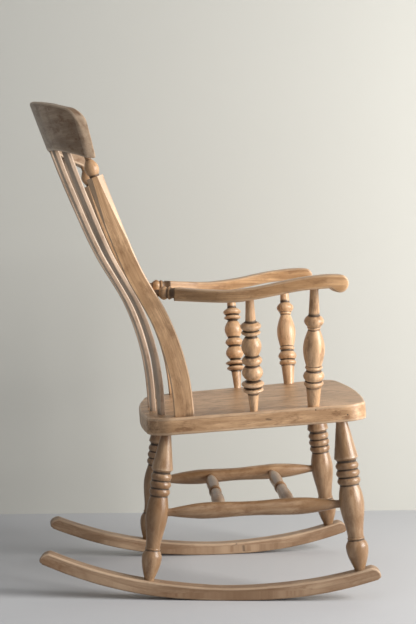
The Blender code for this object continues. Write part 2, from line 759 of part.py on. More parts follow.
def upright_rings(upright):
    """Outlines of an upright from its tenon in the seat to its round tenon in the crest rail."""
    points_per_corner = ROUND_SEGMENTS // 4
    across = Vector((1, 0, 0))
    normal = seat_normal()
    base = frame_along(normal, across)
    width, depth, length = UPRIGHT_TENON
    shoulder = upright.foot + normal * JOINT_GAP
    tenon = centred_ring(width, depth, UPRIGHT_ARRIS, points_per_corner)
    foot = centred_ring(UPRIGHT_WIDTH, upright.depth_at(0), UPRIGHT_ARRIS, points_per_corner)
    rings = [lift(tenon, upright.foot - normal * length, base), lift(tenon, shoulder, base),
             lift(foot, shoulder, base)]
    stations = 14
    for step in range(1, stations + 1):
        share = step / stations
        rotation = frame_along(upright.direction_at(share), across)
        fade = (share - 1 + UPRIGHT_CHAMFER_SHARE) / UPRIGHT_CHAMFER_SHARE
        corner = UPRIGHT_ARRIS + (UPRIGHT_CHAMFER - UPRIGHT_ARRIS) * max(fade, 0)
        ring = centred_ring(UPRIGHT_WIDTH, upright.depth_at(share), corner, points_per_corner)
        rings.append(lift(ring, upright.point_at(share), rotation))
    rotation = frame_along(upright.top_direction, across)
    seat_of_crest = (upright.crest_seat() - upright.top).length
    for height, radius in pommel_points(seat_of_crest):
        ring = circle_ring(radius, ROUND_SEGMENTS)
        rings.append(lift(ring, upright.top + upright.top_direction * height, rotation))
    return rings


def pommel_points(length):
    """(height, radius) points of the turned top: collar, ball, neck and round tenon."""
    points = pattern_points(POMMEL_COLLAR_RADIUS, POMMEL_PATTERN, length)
    return points[1:-1] + [(length + UPRIGHT_CREST_SOCKET, POMMEL_NECK_RADIUS)]


def make_upright(name, upright, chair):
    """Back upright."""
    mesh = bmesh.new()
    add_loft(mesh, upright_rings(upright))
    part = add_object(name, mesh)
    move_origin(part, upright.foot)
    finish_part(part, SAWN_FINISH, chair)
    return part


class Crest:
    """Curved crest rail, placed so that the uprights' turned tops run up inside it."""

    def __init__(self, right, left):
        seats = (right.crest_seat(), left.crest_seat())
        leans = [upright.top_direction.y / upright.top_direction.z for upright in (right, left)]
        self.anchor = Vector((seats[1].x, (seats[0].y + seats[1].y) / 2, seats[1].z))
        self.rack = (seats[1].y - seats[0].y) / (seats[1].x - seats[0].x)
        self.lean = sum(leans) / len(leans)
        self.middle_radius = CREST_RADIUS - CREST_THICKNESS / 2
        self.bottom = self.anchor.z + CREST_ARCH_BOTTOM * self.arch(abs(self.anchor.x))

    def arch(self, x):
        """Share of an edge's arch that is lost at a distance from the middle."""
        return (x / (CREST_LENGTH / 2)) ** 2

    def bottom_edge(self, x):
        """Height of the rail's lower edge."""
        return self.bottom - CREST_ARCH_BOTTOM * self.arch(x)

    def surface_y(self, x, z, radius):
        """Depth of a surface of the rail that is bent to this radius."""
        sag_change = arc_sag(x, radius) - arc_sag(self.anchor.x, self.middle_radius)
        offset = radius - self.middle_radius
        return self.anchor.y + x * self.rack + (z - self.anchor.z) * self.lean - sag_change + offset

    def middle_point(self, x):
        """Point on the rail's lower edge, half way through its thickness."""
        z = self.bottom_edge(x)
        return Vector((x, self.surface_y(x, z, self.middle_radius), z))


def crest_outline(crest):
    """Front outline of the crest rail: arched top and bottom, rounded upper corners."""
    half = CREST_LENGTH / 2
    top = crest.bottom + CREST_RISE
    steps = 8
    outline = []
    for step in range(-steps, steps + 1):
        x = (half - CREST_TAPER) * step / steps
        outline.append((x, crest.bottom_edge(x)))
    corner_steps = 6
    slope = 2 * CREST_ARCH_TOP / half
    sweep = math.pi / 2 - math.atan(slope)
    shoulder = half - CREST_CORNER + CREST_CORNER * math.cos(sweep)
    centre_z = top - CREST_ARCH_TOP * crest.arch(shoulder) - CREST_CORNER * math.sin(sweep)
    right = []
    for step in range(corner_steps + 1):
        angle = sweep * step / corner_steps
        right.append((half - CREST_CORNER + CREST_CORNER * math.cos(angle),
                      centre_z + CREST_CORNER * math.sin(angle)))
    outline += right
    for step in range(steps - 1, -steps, -1):
        x = shoulder * step / steps
        outline.append((x, top - CREST_ARCH_TOP * crest.arch(x)))
    outline += [(-x, z) for x, z in reversed(right)]
    return outline


def make_crest(crest, chair):
    """Crest rail: its front outline is cut from a block, then bent to its two radii."""
    outline = crest_outline(crest)
    mesh = bmesh.new()
    rings = [[Vector((x, y, z)) for x, z in outline] for y in (0, CREST_THICKNESS)]
    add_loft(mesh, rings)
    cuts = sorted({round(x, 5) for x, z in outline})
    for x in cuts[1:-1]:
        geometry = mesh.verts[:] + mesh.edges[:] + mesh.faces[:]
        bmesh.ops.bisect_plane(mesh, geom=geometry, dist=1e-6, plane_co=(x, 0, 0), plane_no=(1, 0, 0))
    for vertex in mesh.verts:
        radius = CREST_RADIUS if vertex.co.y > CREST_THICKNESS / 2 else CREST_RADIUS - CREST_THICKNESS
        vertex.co.y = crest.surface_y(vertex.co.x, vertex.co.z, radius)
    bmesh.ops.recalc_face_normals(mesh, faces=mesh.faces[:])
    part = add_object("crest_rail", mesh)
    move_origin(part, crest.middle_point(0))
    finish_part(part, SAWN_FINISH, chair)
    return part


class Lath:
    """Flat bent slat from the rear of the seat up into the crest rail."""

    def __init__(self, place, crest):
        self.x = place * LATH_SPACING
        self.foot = seat_top(self.x, LATH_FOOT_Y - arc_sag(self.x, LATH_FOOT_RADIUS))
        self.top = crest.middle_point(self.x)
        self.top_direction = Vector((0, crest.lean, 1)).normalized()
        self.foot_turn = math.asin(self.x / LATH_FOOT_RADIUS)
        self.top_turn = math.asin(self.x / crest.middle_radius) - math.atan(crest.rack)

    def point_at(self, share):
        """Point on the centreline at a share of the lath's height."""
        rise = self.top - self.foot
        bulge = LATH_BULGE * math.sin(math.pi * max(share, 0) ** LATH_BULGE_SKEW) ** 2
        setback = rise.y * spline(BACK_BEND, share) - bulge
        return self.foot + Vector((rise.x * share, setback, rise.z * share))

    def direction_at(self, share):
        """Direction of the centreline there."""
        step = 0.01
        return (self.point_at(share + step) - self.point_at(share - step)).normalized()

    def across_at(self, share):
        """Direction of the lath's width: it follows the seat's arc below and the crest's above."""
        turn = self.foot_turn + (self.top_turn - self.foot_turn) * share
        return Vector((math.cos(turn), -math.sin(turn), 0))


def make_lath(name, lath, chair):
    """Lath with eased long edges."""
    ring = centred_ring(LATH_WIDTH, LATH_THICKNESS, LATH_ARRIS, 2)
    base = frame_along(seat_normal(), lath.across_at(0))
    rings = [lift(ring, lath.foot - seat_normal() * LATH_SEAT_SOCKET, base), lift(ring, lath.foot, base)]
    stations = 14
    for step in range(1, stations):
        share = step / stations
        rotation = frame_along(lath.direction_at(share), lath.across_at(share))
        rings.append(lift(ring, lath.point_at(share), rotation))
    tip = frame_along(lath.top_direction, lath.across_at(1))
    rings.append(lift(ring, lath.top - lath.top_direction * LATH_THICKNESS, tip))
    rings.append(lift(ring, lath.top + lath.top_direction * LATH_CREST_SOCKET, tip))
    mesh = bmesh.new()
    add_loft(mesh, rings)
    part = add_object(name, mesh)
    move_origin(part, lath.foot)
    finish_part(part, LATH_FINISH, chair)
    return part


# ---- Arms --------------------------------------------------------------------------------------

class Arm:
    """Swept arm: a turned stub at the upright, a flat body and a scrolled front end."""

    def __init__(self, side, upright):
        self.side = side
        face = upright.front_at(ARM_JOINT_HEIGHT)
        below = upright.front_at(ARM_JOINT_HEIGHT - ARM_NECK_RADIUS)
        self.joint = Vector((abs(face.x), face.y, face.z))
        self.body_start = self.joint.y - ARM_STUB_LENGTH
        ahead = [(self.place(share), x) for share, x in ARM_PLAN]
        first = (self.joint.y, self.joint.x)
        guide = (2 * first[0] - ahead[0][0], first[1])
        end_guide = (2 * ahead[-1][0] - ahead[-2][0], ahead[-1][1])
        self.plan = [guide, first] + ahead + [end_guide]
        forward = self.forward_at(self.joint.y)
        swing = ARM_NECK_RADIUS * abs(forward.x / forward.y)
        self.shoulder_clearance = face.y - below.y + swing + ARM_SHOULDER_GAP

    def place(self, share):
        """Distance behind the middle at a share of the flat body's length."""
        return self.body_start - share * (self.body_start + ARM_SCROLL_START)

    def centre_x(self, y):
        """Distance of the centreline from the chair's centre plane."""
        return spline(self.plan, y)

    def point_at(self, y, height=0.0):
        """Point on the centreline, at a height above the joint."""
        return Vector((self.side * self.centre_x(y), y, self.joint.z + height))

    def forward_at(self, y):
        """Level direction of the centreline, towards the front."""
        step = 0.002
        return (self.point_at(y - step) - self.point_at(y + step)).normalized()

    def under_at(self, y):
        """Point on the arm's underside, on the centreline."""
        share = (self.body_start - y) / (self.body_start + ARM_SCROLL_START)
        for rear, ahead in zip(ARM_SECTIONS, ARM_SECTIONS[1:]):
            if rear[0] <= share <= ahead[0]:
                part = (share - rear[0]) / (ahead[0] - rear[0])
                return self.point_at(y, rear[2] + part * (ahead[2] - rear[2]))
        raise ValueError("no section of the arm covers this place")

    def frame_at(self, y):
        """Upright frame across the arm: X towards the sitter, Y up, Z forwards or backwards."""
        forward = self.forward_at(y)
        up = Vector((0, 0, 1))
        inward = up.cross(forward) * -self.side
        return Matrix((inward, up, inward.cross(up))).transposed()


def arm_stub(arm):
    """(distance ahead of the joint, radius) of the turned stub, from the tenon forwards."""
    length = ARM_STUB_LENGTH - ARM_FLARE_LENGTH - arm.shoulder_clearance
    points = pattern_points(ARM_TENON_RADIUS, ARM_STUB_PATTERN, length)
    stub = [(arm.shoulder_clearance + height, radius) for height, radius in points]
    return [(-ARM_TENON_LENGTH, ARM_TENON_RADIUS)] + stub


def arm_rings(arm):
    """Outlines of an arm from its tenon to the tip of its scroll."""
    points_per_corner = ROUND_SEGMENTS // 4
    joint = arm.point_at(arm.joint.y)
    start = arm.frame_at(arm.joint.y)
    rings = []
    for distance, radius in arm_stub(arm):
        ring = circle_ring(radius, ROUND_SEGMENTS)
        rings.append(lift(ring, joint + arm.forward_at(arm.joint.y) * distance, start))
    for share, top, bottom, outer, inner in ARM_SECTIONS:
        y = arm.place(share)
        ring = rounded_ring((-outer, bottom), (inner, top), ARM_CORNER, points_per_corner)
        rings.append(lift(ring, arm.point_at(y), arm.frame_at(y)))
    outer, inner = ARM_SECTIONS[-1][3:]
    ahead, centre_height = ARM_SCROLL_CENTRE
    first_turn, last_turn = ARM_SCROLL_TURN
    steps = 7
    for step in range(steps):
        turn = math.radians(first_turn + (last_turn - first_turn) * step / (steps - 1))
        y = -ARM_SCROLL_START - ahead - ARM_SCROLL_RADIUS * math.sin(turn)
        half = ARM_SCROLL_RADIUS * math.cos(turn)
        crown = half if turn > 0 else ARM_SCROLL_RADIUS
        ease = ARM_CORNER * (1 - math.cos(turn)) if turn > 0 else 0
        corner = min(ARM_CORNER, half * ARM_SCROLL_CORNER_SHARE)
        low = (ease - outer, centre_height - half)
        ring = rounded_ring(low, (inner - ease, centre_height + crown), corner, points_per_corner)
        rings.append(lift(ring, arm.point_at(y), arm.frame_at(y)))
    return rings


def make_arm(name, arm, chair):
    """Arm with its turned stub and scroll."""
    mesh = bmesh.new()
    add_loft(mesh, arm_rings(arm))
    part = add_object(name, mesh)
    move_origin(part, arm.point_at(arm.joint.y))
    finish_part(part, SAWN_FINISH, chair)
    return part


class Spindle:
    """Turned support between the seat and an arm."""

    def __init__(self, side, arm, foot_y, top_y, inset, foot_radius, pattern):
        self.start = seat_top(side * (seat_half_width(foot_y) - inset), foot_y)
        self.end = arm.under_at(top_y)
        self.direction = (self.end - self.start).normalized()
        self.foot_radius = foot_radius
        self.top_radius = pattern[-1][2]
        length = (self.end - self.start).length
        points = pattern_points(foot_radius, pattern, length - 2 * SPINDLE_STRAIGHT)
        self.points = ([(-SPINDLE_SEAT_SOCKET, foot_radius)]
                       + [(height + SPINDLE_STRAIGHT, radius) for height, radius in points]
                       + [(length + SPINDLE_ARM_SOCKET, self.top_radius)])


def make_spindle(name, spindle, chair):
    """Turned arm support."""
    part = turned_part(name, spindle.points, spindle.start, spindle.end)
    finish_part(part, TURNED_FINISH, chair)
    return part


# ---- Assembly ----------------------------------------------------------------------------------

def clear_scene():
    """Removes whatever the file opened with."""
    for thing in list(bpy.data.objects):
        bpy.data.objects.remove(thing, do_unlink=True)


def stand_on_origin(chair):
    """Moves the chair so that the origin is under the middle of its overall box, on the floor."""
    bpy.context.view_layer.update()
    corners = []
    for part in chair.children:
        if not part.hide_render:
            corners += [part.matrix_world @ vertex.co for vertex in part.data.vertices]
    low = [min(corner[axis] for corner in corners) for axis in range(3)]
    high = [max(corner[axis] for corner in corners) for axis in range(3)]
    chair.location = (-(low[0] + high[0]) / 2, -(low[1] + high[1]) / 2, -low[2])


def build_base(chair, seat_cuts):
    """Rockers, legs and stretchers."""
    bars = {}
    bar_cuts = {}
    for name, side in SIDES.items():
        legs = {"rear": Leg(side, LEG_REAR_FOOT, LEG_REAR_TOP_Y, LEG_GIRTH_REAR),
                "front": Leg(side, LEG_FRONT_FOOT, LEG_FRONT_TOP_Y, LEG_GIRTH_FRONT)}
        bar = side_stretcher(legs["rear"], legs["front"])
        bars[name] = bar
        bar_cuts[name] = bmesh.new()
        rocker_cuts = bmesh.new()
        for place, leg in legs.items():
            part = make_leg(f"leg_{place}_{name}", leg, chair)
            add_socket(seat_cuts, leg.end, leg.direction, LEG_SEAT_SOCKET, leg.top_radius)
            add_socket(rocker_cuts, leg.start, -leg.direction, LEG_ROCKER_SOCKET, leg.foot_radius)
            leg_cuts = bmesh.new()
            bar.add_cutters(leg_cuts, place == "rear")
            cut_sockets(part, chair, leg_cuts)
        cut_sockets(make_rocker(f"rocker_{name}", side, chair), chair, rocker_cuts)
    for place, y in (("rear", CROSS_STRETCHER_REAR_Y), ("front", CROSS_STRETCHER_FRONT_Y)):
        bar = cross_stretcher(bars, y)
        make_stretcher(f"cross_stretcher_{place}", bar, chair)
        bar.add_cutters(bar_cuts["right"], True)
        bar.add_cutters(bar_cuts["left"], False)
    for name, bar in bars.items():
        cut_sockets(make_stretcher(f"side_stretcher_{name}", bar, chair), chair, bar_cuts[name])


def build_back(chair, seat_cuts):
    """Uprights, crest rail and laths. Returns the uprights' lines and their still empty cutters."""
    uprights = {name: Upright(side) for name, side in SIDES.items()}
    crest = Crest(uprights["right"], uprights["left"])
    crest_cuts = bmesh.new()
    normal = seat_normal()
    for upright in uprights.values():
        width, depth, length = UPRIGHT_TENON
        add_bar(seat_cuts, upright.foot + normal * OVERSHOOT, upright.foot - normal * (length + JOINT_GAP),
                Vector((1, 0, 0)), width + 2 * JOINT_GAP, depth + 2 * JOINT_GAP)
        add_socket(crest_cuts, upright.crest_seat(), upright.top_direction, UPRIGHT_CREST_SOCKET,
                   POMMEL_NECK_RADIUS)
    for index in range(LATH_COUNT):
        lath = Lath(index - (LATH_COUNT - 1) / 2, crest)
        make_lath(f"lath_{index + 1}", lath, chair)
        width = LATH_WIDTH + 2 * JOINT_GAP
        thickness = LATH_THICKNESS + 2 * JOINT_GAP
        add_bar(seat_cuts, lath.foot + normal * OVERSHOOT,
                lath.foot - normal * (LATH_SEAT_SOCKET + JOINT_GAP), lath.across_at(0), width, thickness)
        add_bar(crest_cuts, lath.top - lath.top_direction * OVERSHOOT,
                lath.top + lath.top_direction * (LATH_CREST_SOCKET + JOINT_GAP),
                lath.across_at(1), width, thickness)
    cut_sockets(make_crest(crest, chair), chair, crest_cuts)
    return uprights


def build_arms(chair, uprights, seat_cuts):
    """Arms and their spindles, with the arms' tenons let into the uprights."""
    for name, side in SIDES.items():
        arm = Arm(side, uprights[name])
        arm_cuts = bmesh.new()
        spindles = {
            "rear": Spindle(side, arm, SPINDLE_REAR_FOOT_Y, SPINDLE_REAR_TOP_Y, SPINDLE_REAR_INSET,
                            REAR_SPINDLE_FOOT_RADIUS, REAR_SPINDLE_PATTERN),
            "front": Spindle(side, arm, SPINDLE_FRONT_FOOT_Y, SPINDLE_FRONT_TOP_Y, SPINDLE_FRONT_INSET,
                             FRONT_SPINDLE_FOOT_RADIUS, FRONT_SPINDLE_PATTERN)}
        for place, spindle in spindles.items():
            make_spindle(f"spindle_{place}_{name}", spindle, chair)
            add_socket(seat_cuts, spindle.start, -spindle.direction, SPINDLE_SEAT_SOCKET,
                       spindle.foot_radius)
            add_socket(arm_cuts, spindle.end, spindle.direction, SPINDLE_ARM_SOCKET, spindle.top_radius)
        cut_sockets(make_arm(f"arm_{name}", arm, chair), chair, arm_cuts)
        upright_cuts = bmesh.new()
        add_socket(upright_cuts, arm.point_at(arm.joint.y), -arm.forward_at(arm.joint.y),
                   ARM_TENON_LENGTH, ARM_TENON_RADIUS)
        cut_sockets(make_upright(f"upright_{name}", uprights[name], chair), chair, upright_cuts)


def main():
    """Builds the whole chair under one empty."""
    clear_scene()
    chair = bpy.data.objects.new("chair", None)
    bpy.context.scene.collection.objects.link(chair)
    seat_cuts = bmesh.new()
    build_base(chair, seat_cuts)
    uprights = build_back(chair, seat_cuts)
    build_arms(chair, uprights, seat_cuts)
    cut_sockets(make_seat(chair), chair, seat_cuts)
    stand_on_origin(chair)


main()
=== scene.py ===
"""Finished look of a lath-back rocking armchair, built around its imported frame.

Laid out as an add-on: sizes and colours are properties, every group of like pieces has its own
operator, and one panel lists them. Lengths are in metres and +Z is up; the chair faces -Y.
"""

import math

import bmesh
import bpy
from bpy.props import FloatProperty, FloatVectorProperty, IntProperty, PointerProperty
from mathutils import Matrix, Vector, noise


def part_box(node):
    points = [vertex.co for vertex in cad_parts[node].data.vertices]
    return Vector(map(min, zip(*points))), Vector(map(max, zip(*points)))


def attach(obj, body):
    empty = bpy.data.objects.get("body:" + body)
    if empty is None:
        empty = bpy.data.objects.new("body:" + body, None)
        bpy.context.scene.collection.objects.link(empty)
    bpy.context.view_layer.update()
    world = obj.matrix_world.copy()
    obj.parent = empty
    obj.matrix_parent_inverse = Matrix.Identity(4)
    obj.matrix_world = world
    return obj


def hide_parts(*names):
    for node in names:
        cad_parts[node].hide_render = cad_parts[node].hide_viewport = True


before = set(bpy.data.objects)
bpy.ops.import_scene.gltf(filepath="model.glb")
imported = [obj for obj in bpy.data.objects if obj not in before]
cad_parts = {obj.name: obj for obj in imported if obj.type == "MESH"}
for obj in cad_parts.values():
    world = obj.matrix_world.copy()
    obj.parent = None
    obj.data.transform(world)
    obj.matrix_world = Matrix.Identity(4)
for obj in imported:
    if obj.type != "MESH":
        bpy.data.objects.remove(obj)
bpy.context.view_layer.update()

bl_info = {
    "name": "Rocking Armchair",
    "version": (1, 0, 0),
    "blender": (4, 5, 0),
    "location": "View3D > Sidebar > Chair",
    "description": "Builds an old waxed lath-back rocking armchair and a plain studio",
    "category": "Object",
}

SIDES = {"right": -1, "left": 1}
RING = 28                 # points round every bar: 7 to a quarter
QUARTER = RING // 4
CORNER_POINTS = 4
TURNED_SEGMENTS = 44
FLOOR_GAP = 0.0003        # keeps the uneven underside of the rockers clear of the floor
FACE_MARGIN = 0.0006      # keeps the uneven outermost faces inside the overall size
SURFACE_SEED = 11         # the uneven surface comes out the same each time

# Share of the back's height against share of its setback; the end pairs guide the curve's ends
BACK_BEND = ((-0.2, 0.0), (0.0, 0.0), (0.2, 0.078), (0.4, 0.265), (0.6, 0.565),
             (0.8, 0.793), (1.0, 1.0), (1.2, 1.18))

# The arm's centreline in plan, ahead of its joint
ARM_PLAN = ((0.070, 0.251), (-0.010, 0.283), (-0.080, 0.300), (-0.180, 0.308), (-0.310, 0.309))
# Place, top, bottom, inner half width and outer half width of the arm, from the stub forwards
ARM_SECTIONS = (
    (0.0704, 0.0120, -0.0160, 0.0150, 0.0240),
    (0.0205, 0.0090, -0.0170, 0.0225, 0.0250),
    (-0.0315, 0.0078, -0.0178, 0.0265, 0.0265),
    (-0.0627, 0.0105, -0.0165, 0.0270, 0.0270),
    (-0.1053, 0.0168, -0.0092, 0.0280, 0.0280),
    (-0.1470, 0.0258, -0.0007, 0.0290, 0.0290),
    (-0.1885, 0.0343, 0.0073, 0.0300, 0.0300),
    (-0.2300, 0.0398, 0.0113, 0.0310, 0.0310),
    (-0.2520, 0.0416, 0.0128, 0.0315, 0.0315),
)
ARM_SCROLL_CENTRE = (-0.2705, 0.0228)
ARM_SCROLL_RADIUS = 0.0188
ARM_STUB_LENGTH = 0.0434

# Turned patterns: (shape, length, end radius, bulge)
LEG_PATTERN = (
    ("belly_up", 0.0458, 0.0242, 0),
    ("belly_down", 0.0165, 0.0172, 0),
    ("bead", 0.0050, 0.0172, 0.0016),
    ("ease", 0.0743, 0.0271, 0),
    ("belly_down", 0.0395, 0.0205, 0),
    ("bead", 0.0167, 0.0215, 0.0042),
    ("bead", 0.0167, 0.0215, 0.0042),
    ("bead", 0.0167, 0.0205, 0.0042),
    ("cove", 0.0080, 0.0262, 0.0012),
)
LEG_FOOT_RADIUS = 0.0121
LEG_TOP_RADIUS = 0.0127
REAR_SPINDLE_PATTERN = (
    ("line", 0.0340, 0.0122, 0),
    ("bead", 0.0125, 0.0150, 0.0086),
    ("bead", 0.0125, 0.0116, 0.0112),
    ("bead", 0.0310, 0.0140, 0.0098),
    ("bead", 0.0190, 0.0140, 0.0080),
    ("bead", 0.0400, 0.0110, 0.0092),
    ("bead", 0.0108, 0.0150, 0.0078),
    ("bead", 0.0170, 0.0113, 0.0090),
    ("line", 0.0380, 0.0090, 0),
)
FRONT_SPINDLE_PATTERN = (
    ("line", 0.0375, 0.0165, 0),
    ("bead", 0.0120, 0.0172, 0.0042),
    ("bead", 0.0195, 0.0165, 0.0058),
    ("cove", 0.0050, 0.0172, 0.0010),
    ("bead", 0.0055, 0.0165, 0.0020),
    ("belly_up", 0.0340, 0.0232, 0),
    ("belly_down", 0.0400, 0.0122, 0),
    ("bead", 0.0055, 0.0140, 0.0012),
    ("bead", 0.0225, 0.0118, 0.0082),
    ("line", 0.0480, 0.0091, 0),
)
SPINDLE_FOOT_RADIUS = {"rear": 0.0084, "front": 0.0127}
SIDE_END_RADIUS = 0.0085
SIDE_STRETCHER_PATTERN = (
    ("line", 0.0060, SIDE_END_RADIUS, 0),
    ("belly_up", 0.0950, 0.0178, 0),
    ("ease", 0.0900, 0.0155, 0),
    ("ease", 0.1050, 0.0185, 0),
    ("belly_down", 0.0980, SIDE_END_RADIUS, 0),
    ("line", 0.0060, SIDE_END_RADIUS, 0),
)
CROSS_END_RADIUS = 0.0075
CROSS_STRETCHER_PATTERN = (
    ("line", 0.0070, CROSS_END_RADIUS, 0),
    ("belly_up", 0.0800, 0.0145, 0),
    ("belly_down", 0.0900, 0.0115, 0),
    ("bead", 0.0090, 0.0095, 0.0040),
    ("bead", 0.0090, 0.0115, 0.0040),
    ("belly_up", 0.0900, 0.0145, 0),
    ("belly_down", 0.0800, CROSS_END_RADIUS, 0),
    ("line", 0.0070, CROSS_END_RADIUS, 0),
)
POMMEL_COLLAR_RADIUS = 0.0105
POMMEL_NECK_RADIUS = 0.0066
POMMEL_PATTERN = (
    ("line", 0.0005, POMMEL_COLLAR_RADIUS, 0),
    ("line", 0.0030, POMMEL_COLLAR_RADIUS, 0),
    ("belly_up", 0.0150, 0.0155, 0),
    ("belly_down", 0.0190, POMMEL_NECK_RADIUS, 0),
    ("line", 0.0080, POMMEL_NECK_RADIUS, 0),
)
ELEMENT_STEPS = {"line": 5, "bead": 12, "cove": 8, "ease": 18, "belly_up": 12, "belly_down": 12}


# ---- Properties --------------------------------------------------------------------------------

def length(name, description, default):
    """A length in metres."""
    return FloatProperty(name=name, description=description, default=default, unit="LENGTH", precision=4)


def colour(name, description, default):
    """A linear RGB colour."""
    return FloatVectorProperty(name=name, description=description, default=default, subtype="COLOR",
                               size=3, min=0.0, max=1.0)


def share(name, description, default):
    """A share between nothing and one."""
    return FloatProperty(name=name, description=description, default=default, min=0.0, max=1.0,
                         subtype="FACTOR")


class SeatSizes(bpy.types.PropertyGroup):
    """Sizes of the seat plank."""

    height: length("Height", "Top face above the floor, at the chair's middle", 0.402)
    thickness: length("Thickness", "Thickness of the plank", 0.037)
    tilt: FloatProperty(name="Tilt", description="How far the front is raised",
                        default=math.radians(4.5), subtype="ANGLE")
    rear: length("Rear", "Rear edge behind the middle", 0.147)
    front: length("Front", "Front edge ahead of the middle", 0.355)
    width_rear: length("Rear width", "Width where the rear corners begin", 0.490)
    width_front: length("Front width", "Width where the front corners begin", 0.552)
    corner_rear: length("Rear corners", "Corner radius in plan", 0.062)
    corner_front: length("Front corners", "Corner radius in plan", 0.050)
    bow_rear: length("Rear bow", "Bulge of the rear edge", 0.013)
    bow_front: length("Front bow", "Bulge of the front edge", 0.012)
    edge: length("Edge rounding", "Radius of the worn edges", 0.0038)


class RockerSizes(bpy.types.PropertyGroup):
    """Sizes of the rockers."""

    thickness: length("Thickness", "Thickness of each bar", 0.038)
    depth_middle: length("Middle depth", "Height of the bar at its lowest point", 0.0265)
    depth_legs: length("Depth", "Height of the bar from the legs outwards", 0.030)
    low_point: length("Low point", "Where the bars touch the floor, behind the middle", -0.042)
    reach_rear: length("Rear reach", "Bar length behind the low point", 0.405)
    reach_front: length("Front reach", "Bar length ahead of the low point", 0.3316)
    flat_reach: length("Flat reach", "Half length of the flatter stretch", 0.104)
    flat_radius: length("Flat radius", "Radius of the flatter stretch", 1.56)
    end_radius: length("End radius", "Radius of both ends", 0.83)
    nose: length("Nose", "Rounding of the upper end corners", 0.021)
    heel: length("Heel", "Rounding of the lower end corners", 0.006)
    edge: length("Edge rounding", "Radius of the long edges", 0.0032)


class LegSizes(bpy.types.PropertyGroup):
    """Places of the legs and stretchers."""

    rear_foot_x: length("Rear foot X", "Rear foot from the centre plane", 0.217)
    rear_foot_y: length("Rear foot Y", "Rear foot behind the middle", 0.126)
    front_foot_x: length("Front foot X", "Front foot from the centre plane", 0.255)
    front_foot_y: length("Front foot Y", "Front foot behind the middle", -0.328)
    rear_top_y: length("Rear top", "Top of the rear legs behind the middle", 0.088)
    front_top_y: length("Front top", "Top of the front legs behind the middle", -0.289)
    inset: length("Inset", "Leg tops from the seat's side", 0.034)
    girth_rear: share("Rear girth", "Thickness of the rear legs against the front ones", 0.90)
    side_rear: length("Side stretcher rear", "Height of the side stretchers' rear ends", 0.186)
    side_front: length("Side stretcher front", "Height of their front ends", 0.209)
    cross_rear: length("Rear cross stretcher", "Place behind the middle", -0.030)
    cross_front: length("Front cross stretcher", "Place behind the middle", -0.182)


class BackSizes(bpy.types.PropertyGroup):
    """Sizes of the back."""

    height: length("Height", "Seat to the uprights' shoulders", 0.511)
    setback: length("Setback", "Lean of the right upright over that height", 0.190)
    rack: length("Rack", "How much further the left upright leans", 0.022)
    foot_y: length("Foot", "Uprights' feet behind the middle", 0.0497)
    inset: length("Inset", "Uprights from the seat's side", 0.029)
    splay: length("Splay", "Outward lean of each upright", 0.0265)
    upright_width: length("Upright width", "Side to side", 0.033)
    depth_foot: length("Depth at the foot", "Front to back", 0.043)
    depth_top: length("Depth above", "Front to back", 0.0365)
    edge: length("Edge rounding", "Size of the eased corners", 0.0025)
    chamfer: length("Chamfer", "Corner cut at the shoulder", 0.0125)
    chamfer_rear: share("Rear chamfer length", "Share of the height", 0.19)
    chamfer_front: share("Front chamfer length", "Share of the height", 0.26)
    pommel: length("Pommel", "Shoulder to the crest rail", 0.044)
    crest_radius: length("Crest radius", "Of the rear face, in plan", 0.520)
    crest_thickness: length("Crest thickness", "Thickness of the board", 0.0195)
    crest_length: length("Crest length", "Overall length", 0.556)
    crest_rise: length("Crest rise", "Height of the rail at its middle", 0.1082)
    arch_top: length("Top arch", "Drop of the top edge towards its ends", 0.037)
    arch_bottom: length("Bottom arch", "Drop of the lower edge towards its ends", 0.030)
    crest_corner: length("Crest corners", "Radius of the upper corners", 0.036)
    crest_taper: length("Crest taper", "How much shorter the lower edge is", 0.014)
    crest_edge: length("Crest edge", "Rounding of the board's edges", 0.0045)
    laths: IntProperty(name="Laths", description="Number of laths", default=5, min=3, max=9)
    lath_spacing: length("Lath spacing", "Between neighbouring laths", 0.083)
    lath_width: length("Lath width", "Side to side", 0.030)
    lath_thickness: length("Lath thickness", "Front to back", 0.0105)
    lath_foot: length("Lath foot", "Middle lath behind the middle", 0.1203)
    lath_radius: length("Lath arc", "Radius of the arc the laths stand on", 0.62)
    lath_bulge: length("Lath bulge", "How far the laths stand ahead of the uprights' bend", 0.0065)


class ArmSizes(bpy.types.PropertyGroup):
    """Sizes of the arms and their supports."""

    joint_height: length("Joint height", "Joint above the seat", 0.2650)
    ball: length("Stub radius", "Of the turned ball", 0.0145)
    neck: length("Neck radius", "Behind the ball", 0.009)
    tenon: length("Tenon radius", "Inside the upright", 0.0075)
    edge: length("Edge rounding", "Radius of the arm's edges", 0.0042)
    rear_foot: length("Rear foot", "Rear spindle's foot behind the middle", -0.099)
    rear_top: length("Rear top", "Rear spindle's top behind the middle", -0.085)
    front_foot: length("Front foot", "Front spindle's foot behind the middle", -0.227)
    front_top: length("Front top", "Front spindle's top behind the middle", -0.220)
    rear_inset: length("Rear inset", "Rear spindle from the seat's side", 0.0125)
    front_inset: length("Front inset", "Front spindle from the seat's side", 0.0185)


class WoodLook(bpy.types.PropertyGroup):
    """Colours of the waxed wood."""

    honey: colour("Honey", "Main colour of the waxed wood", (0.52, 0.29, 0.125))
    pale: colour("Pale", "Worn edges and pale streaks", (0.74, 0.57, 0.41))
    brown: colour("Brown", "Dark streaks", (0.17, 0.078, 0.030))
    # Old wax and dirt in the grooves, also used as the painted shade of grooves, joints and recesses; cracks and
    # holes take it too
    grime: colour("Grime", "Old wax and dirt in the grooves", (0.035, 0.020, 0.011))
    grey: colour("Grey", "Weathered wood", (0.47, 0.36, 0.27))
    wear: share("Wear", "How far the edges are worn pale", 0.75)
    rough: share("Roughness", "Roughness of the wax", 0.42)


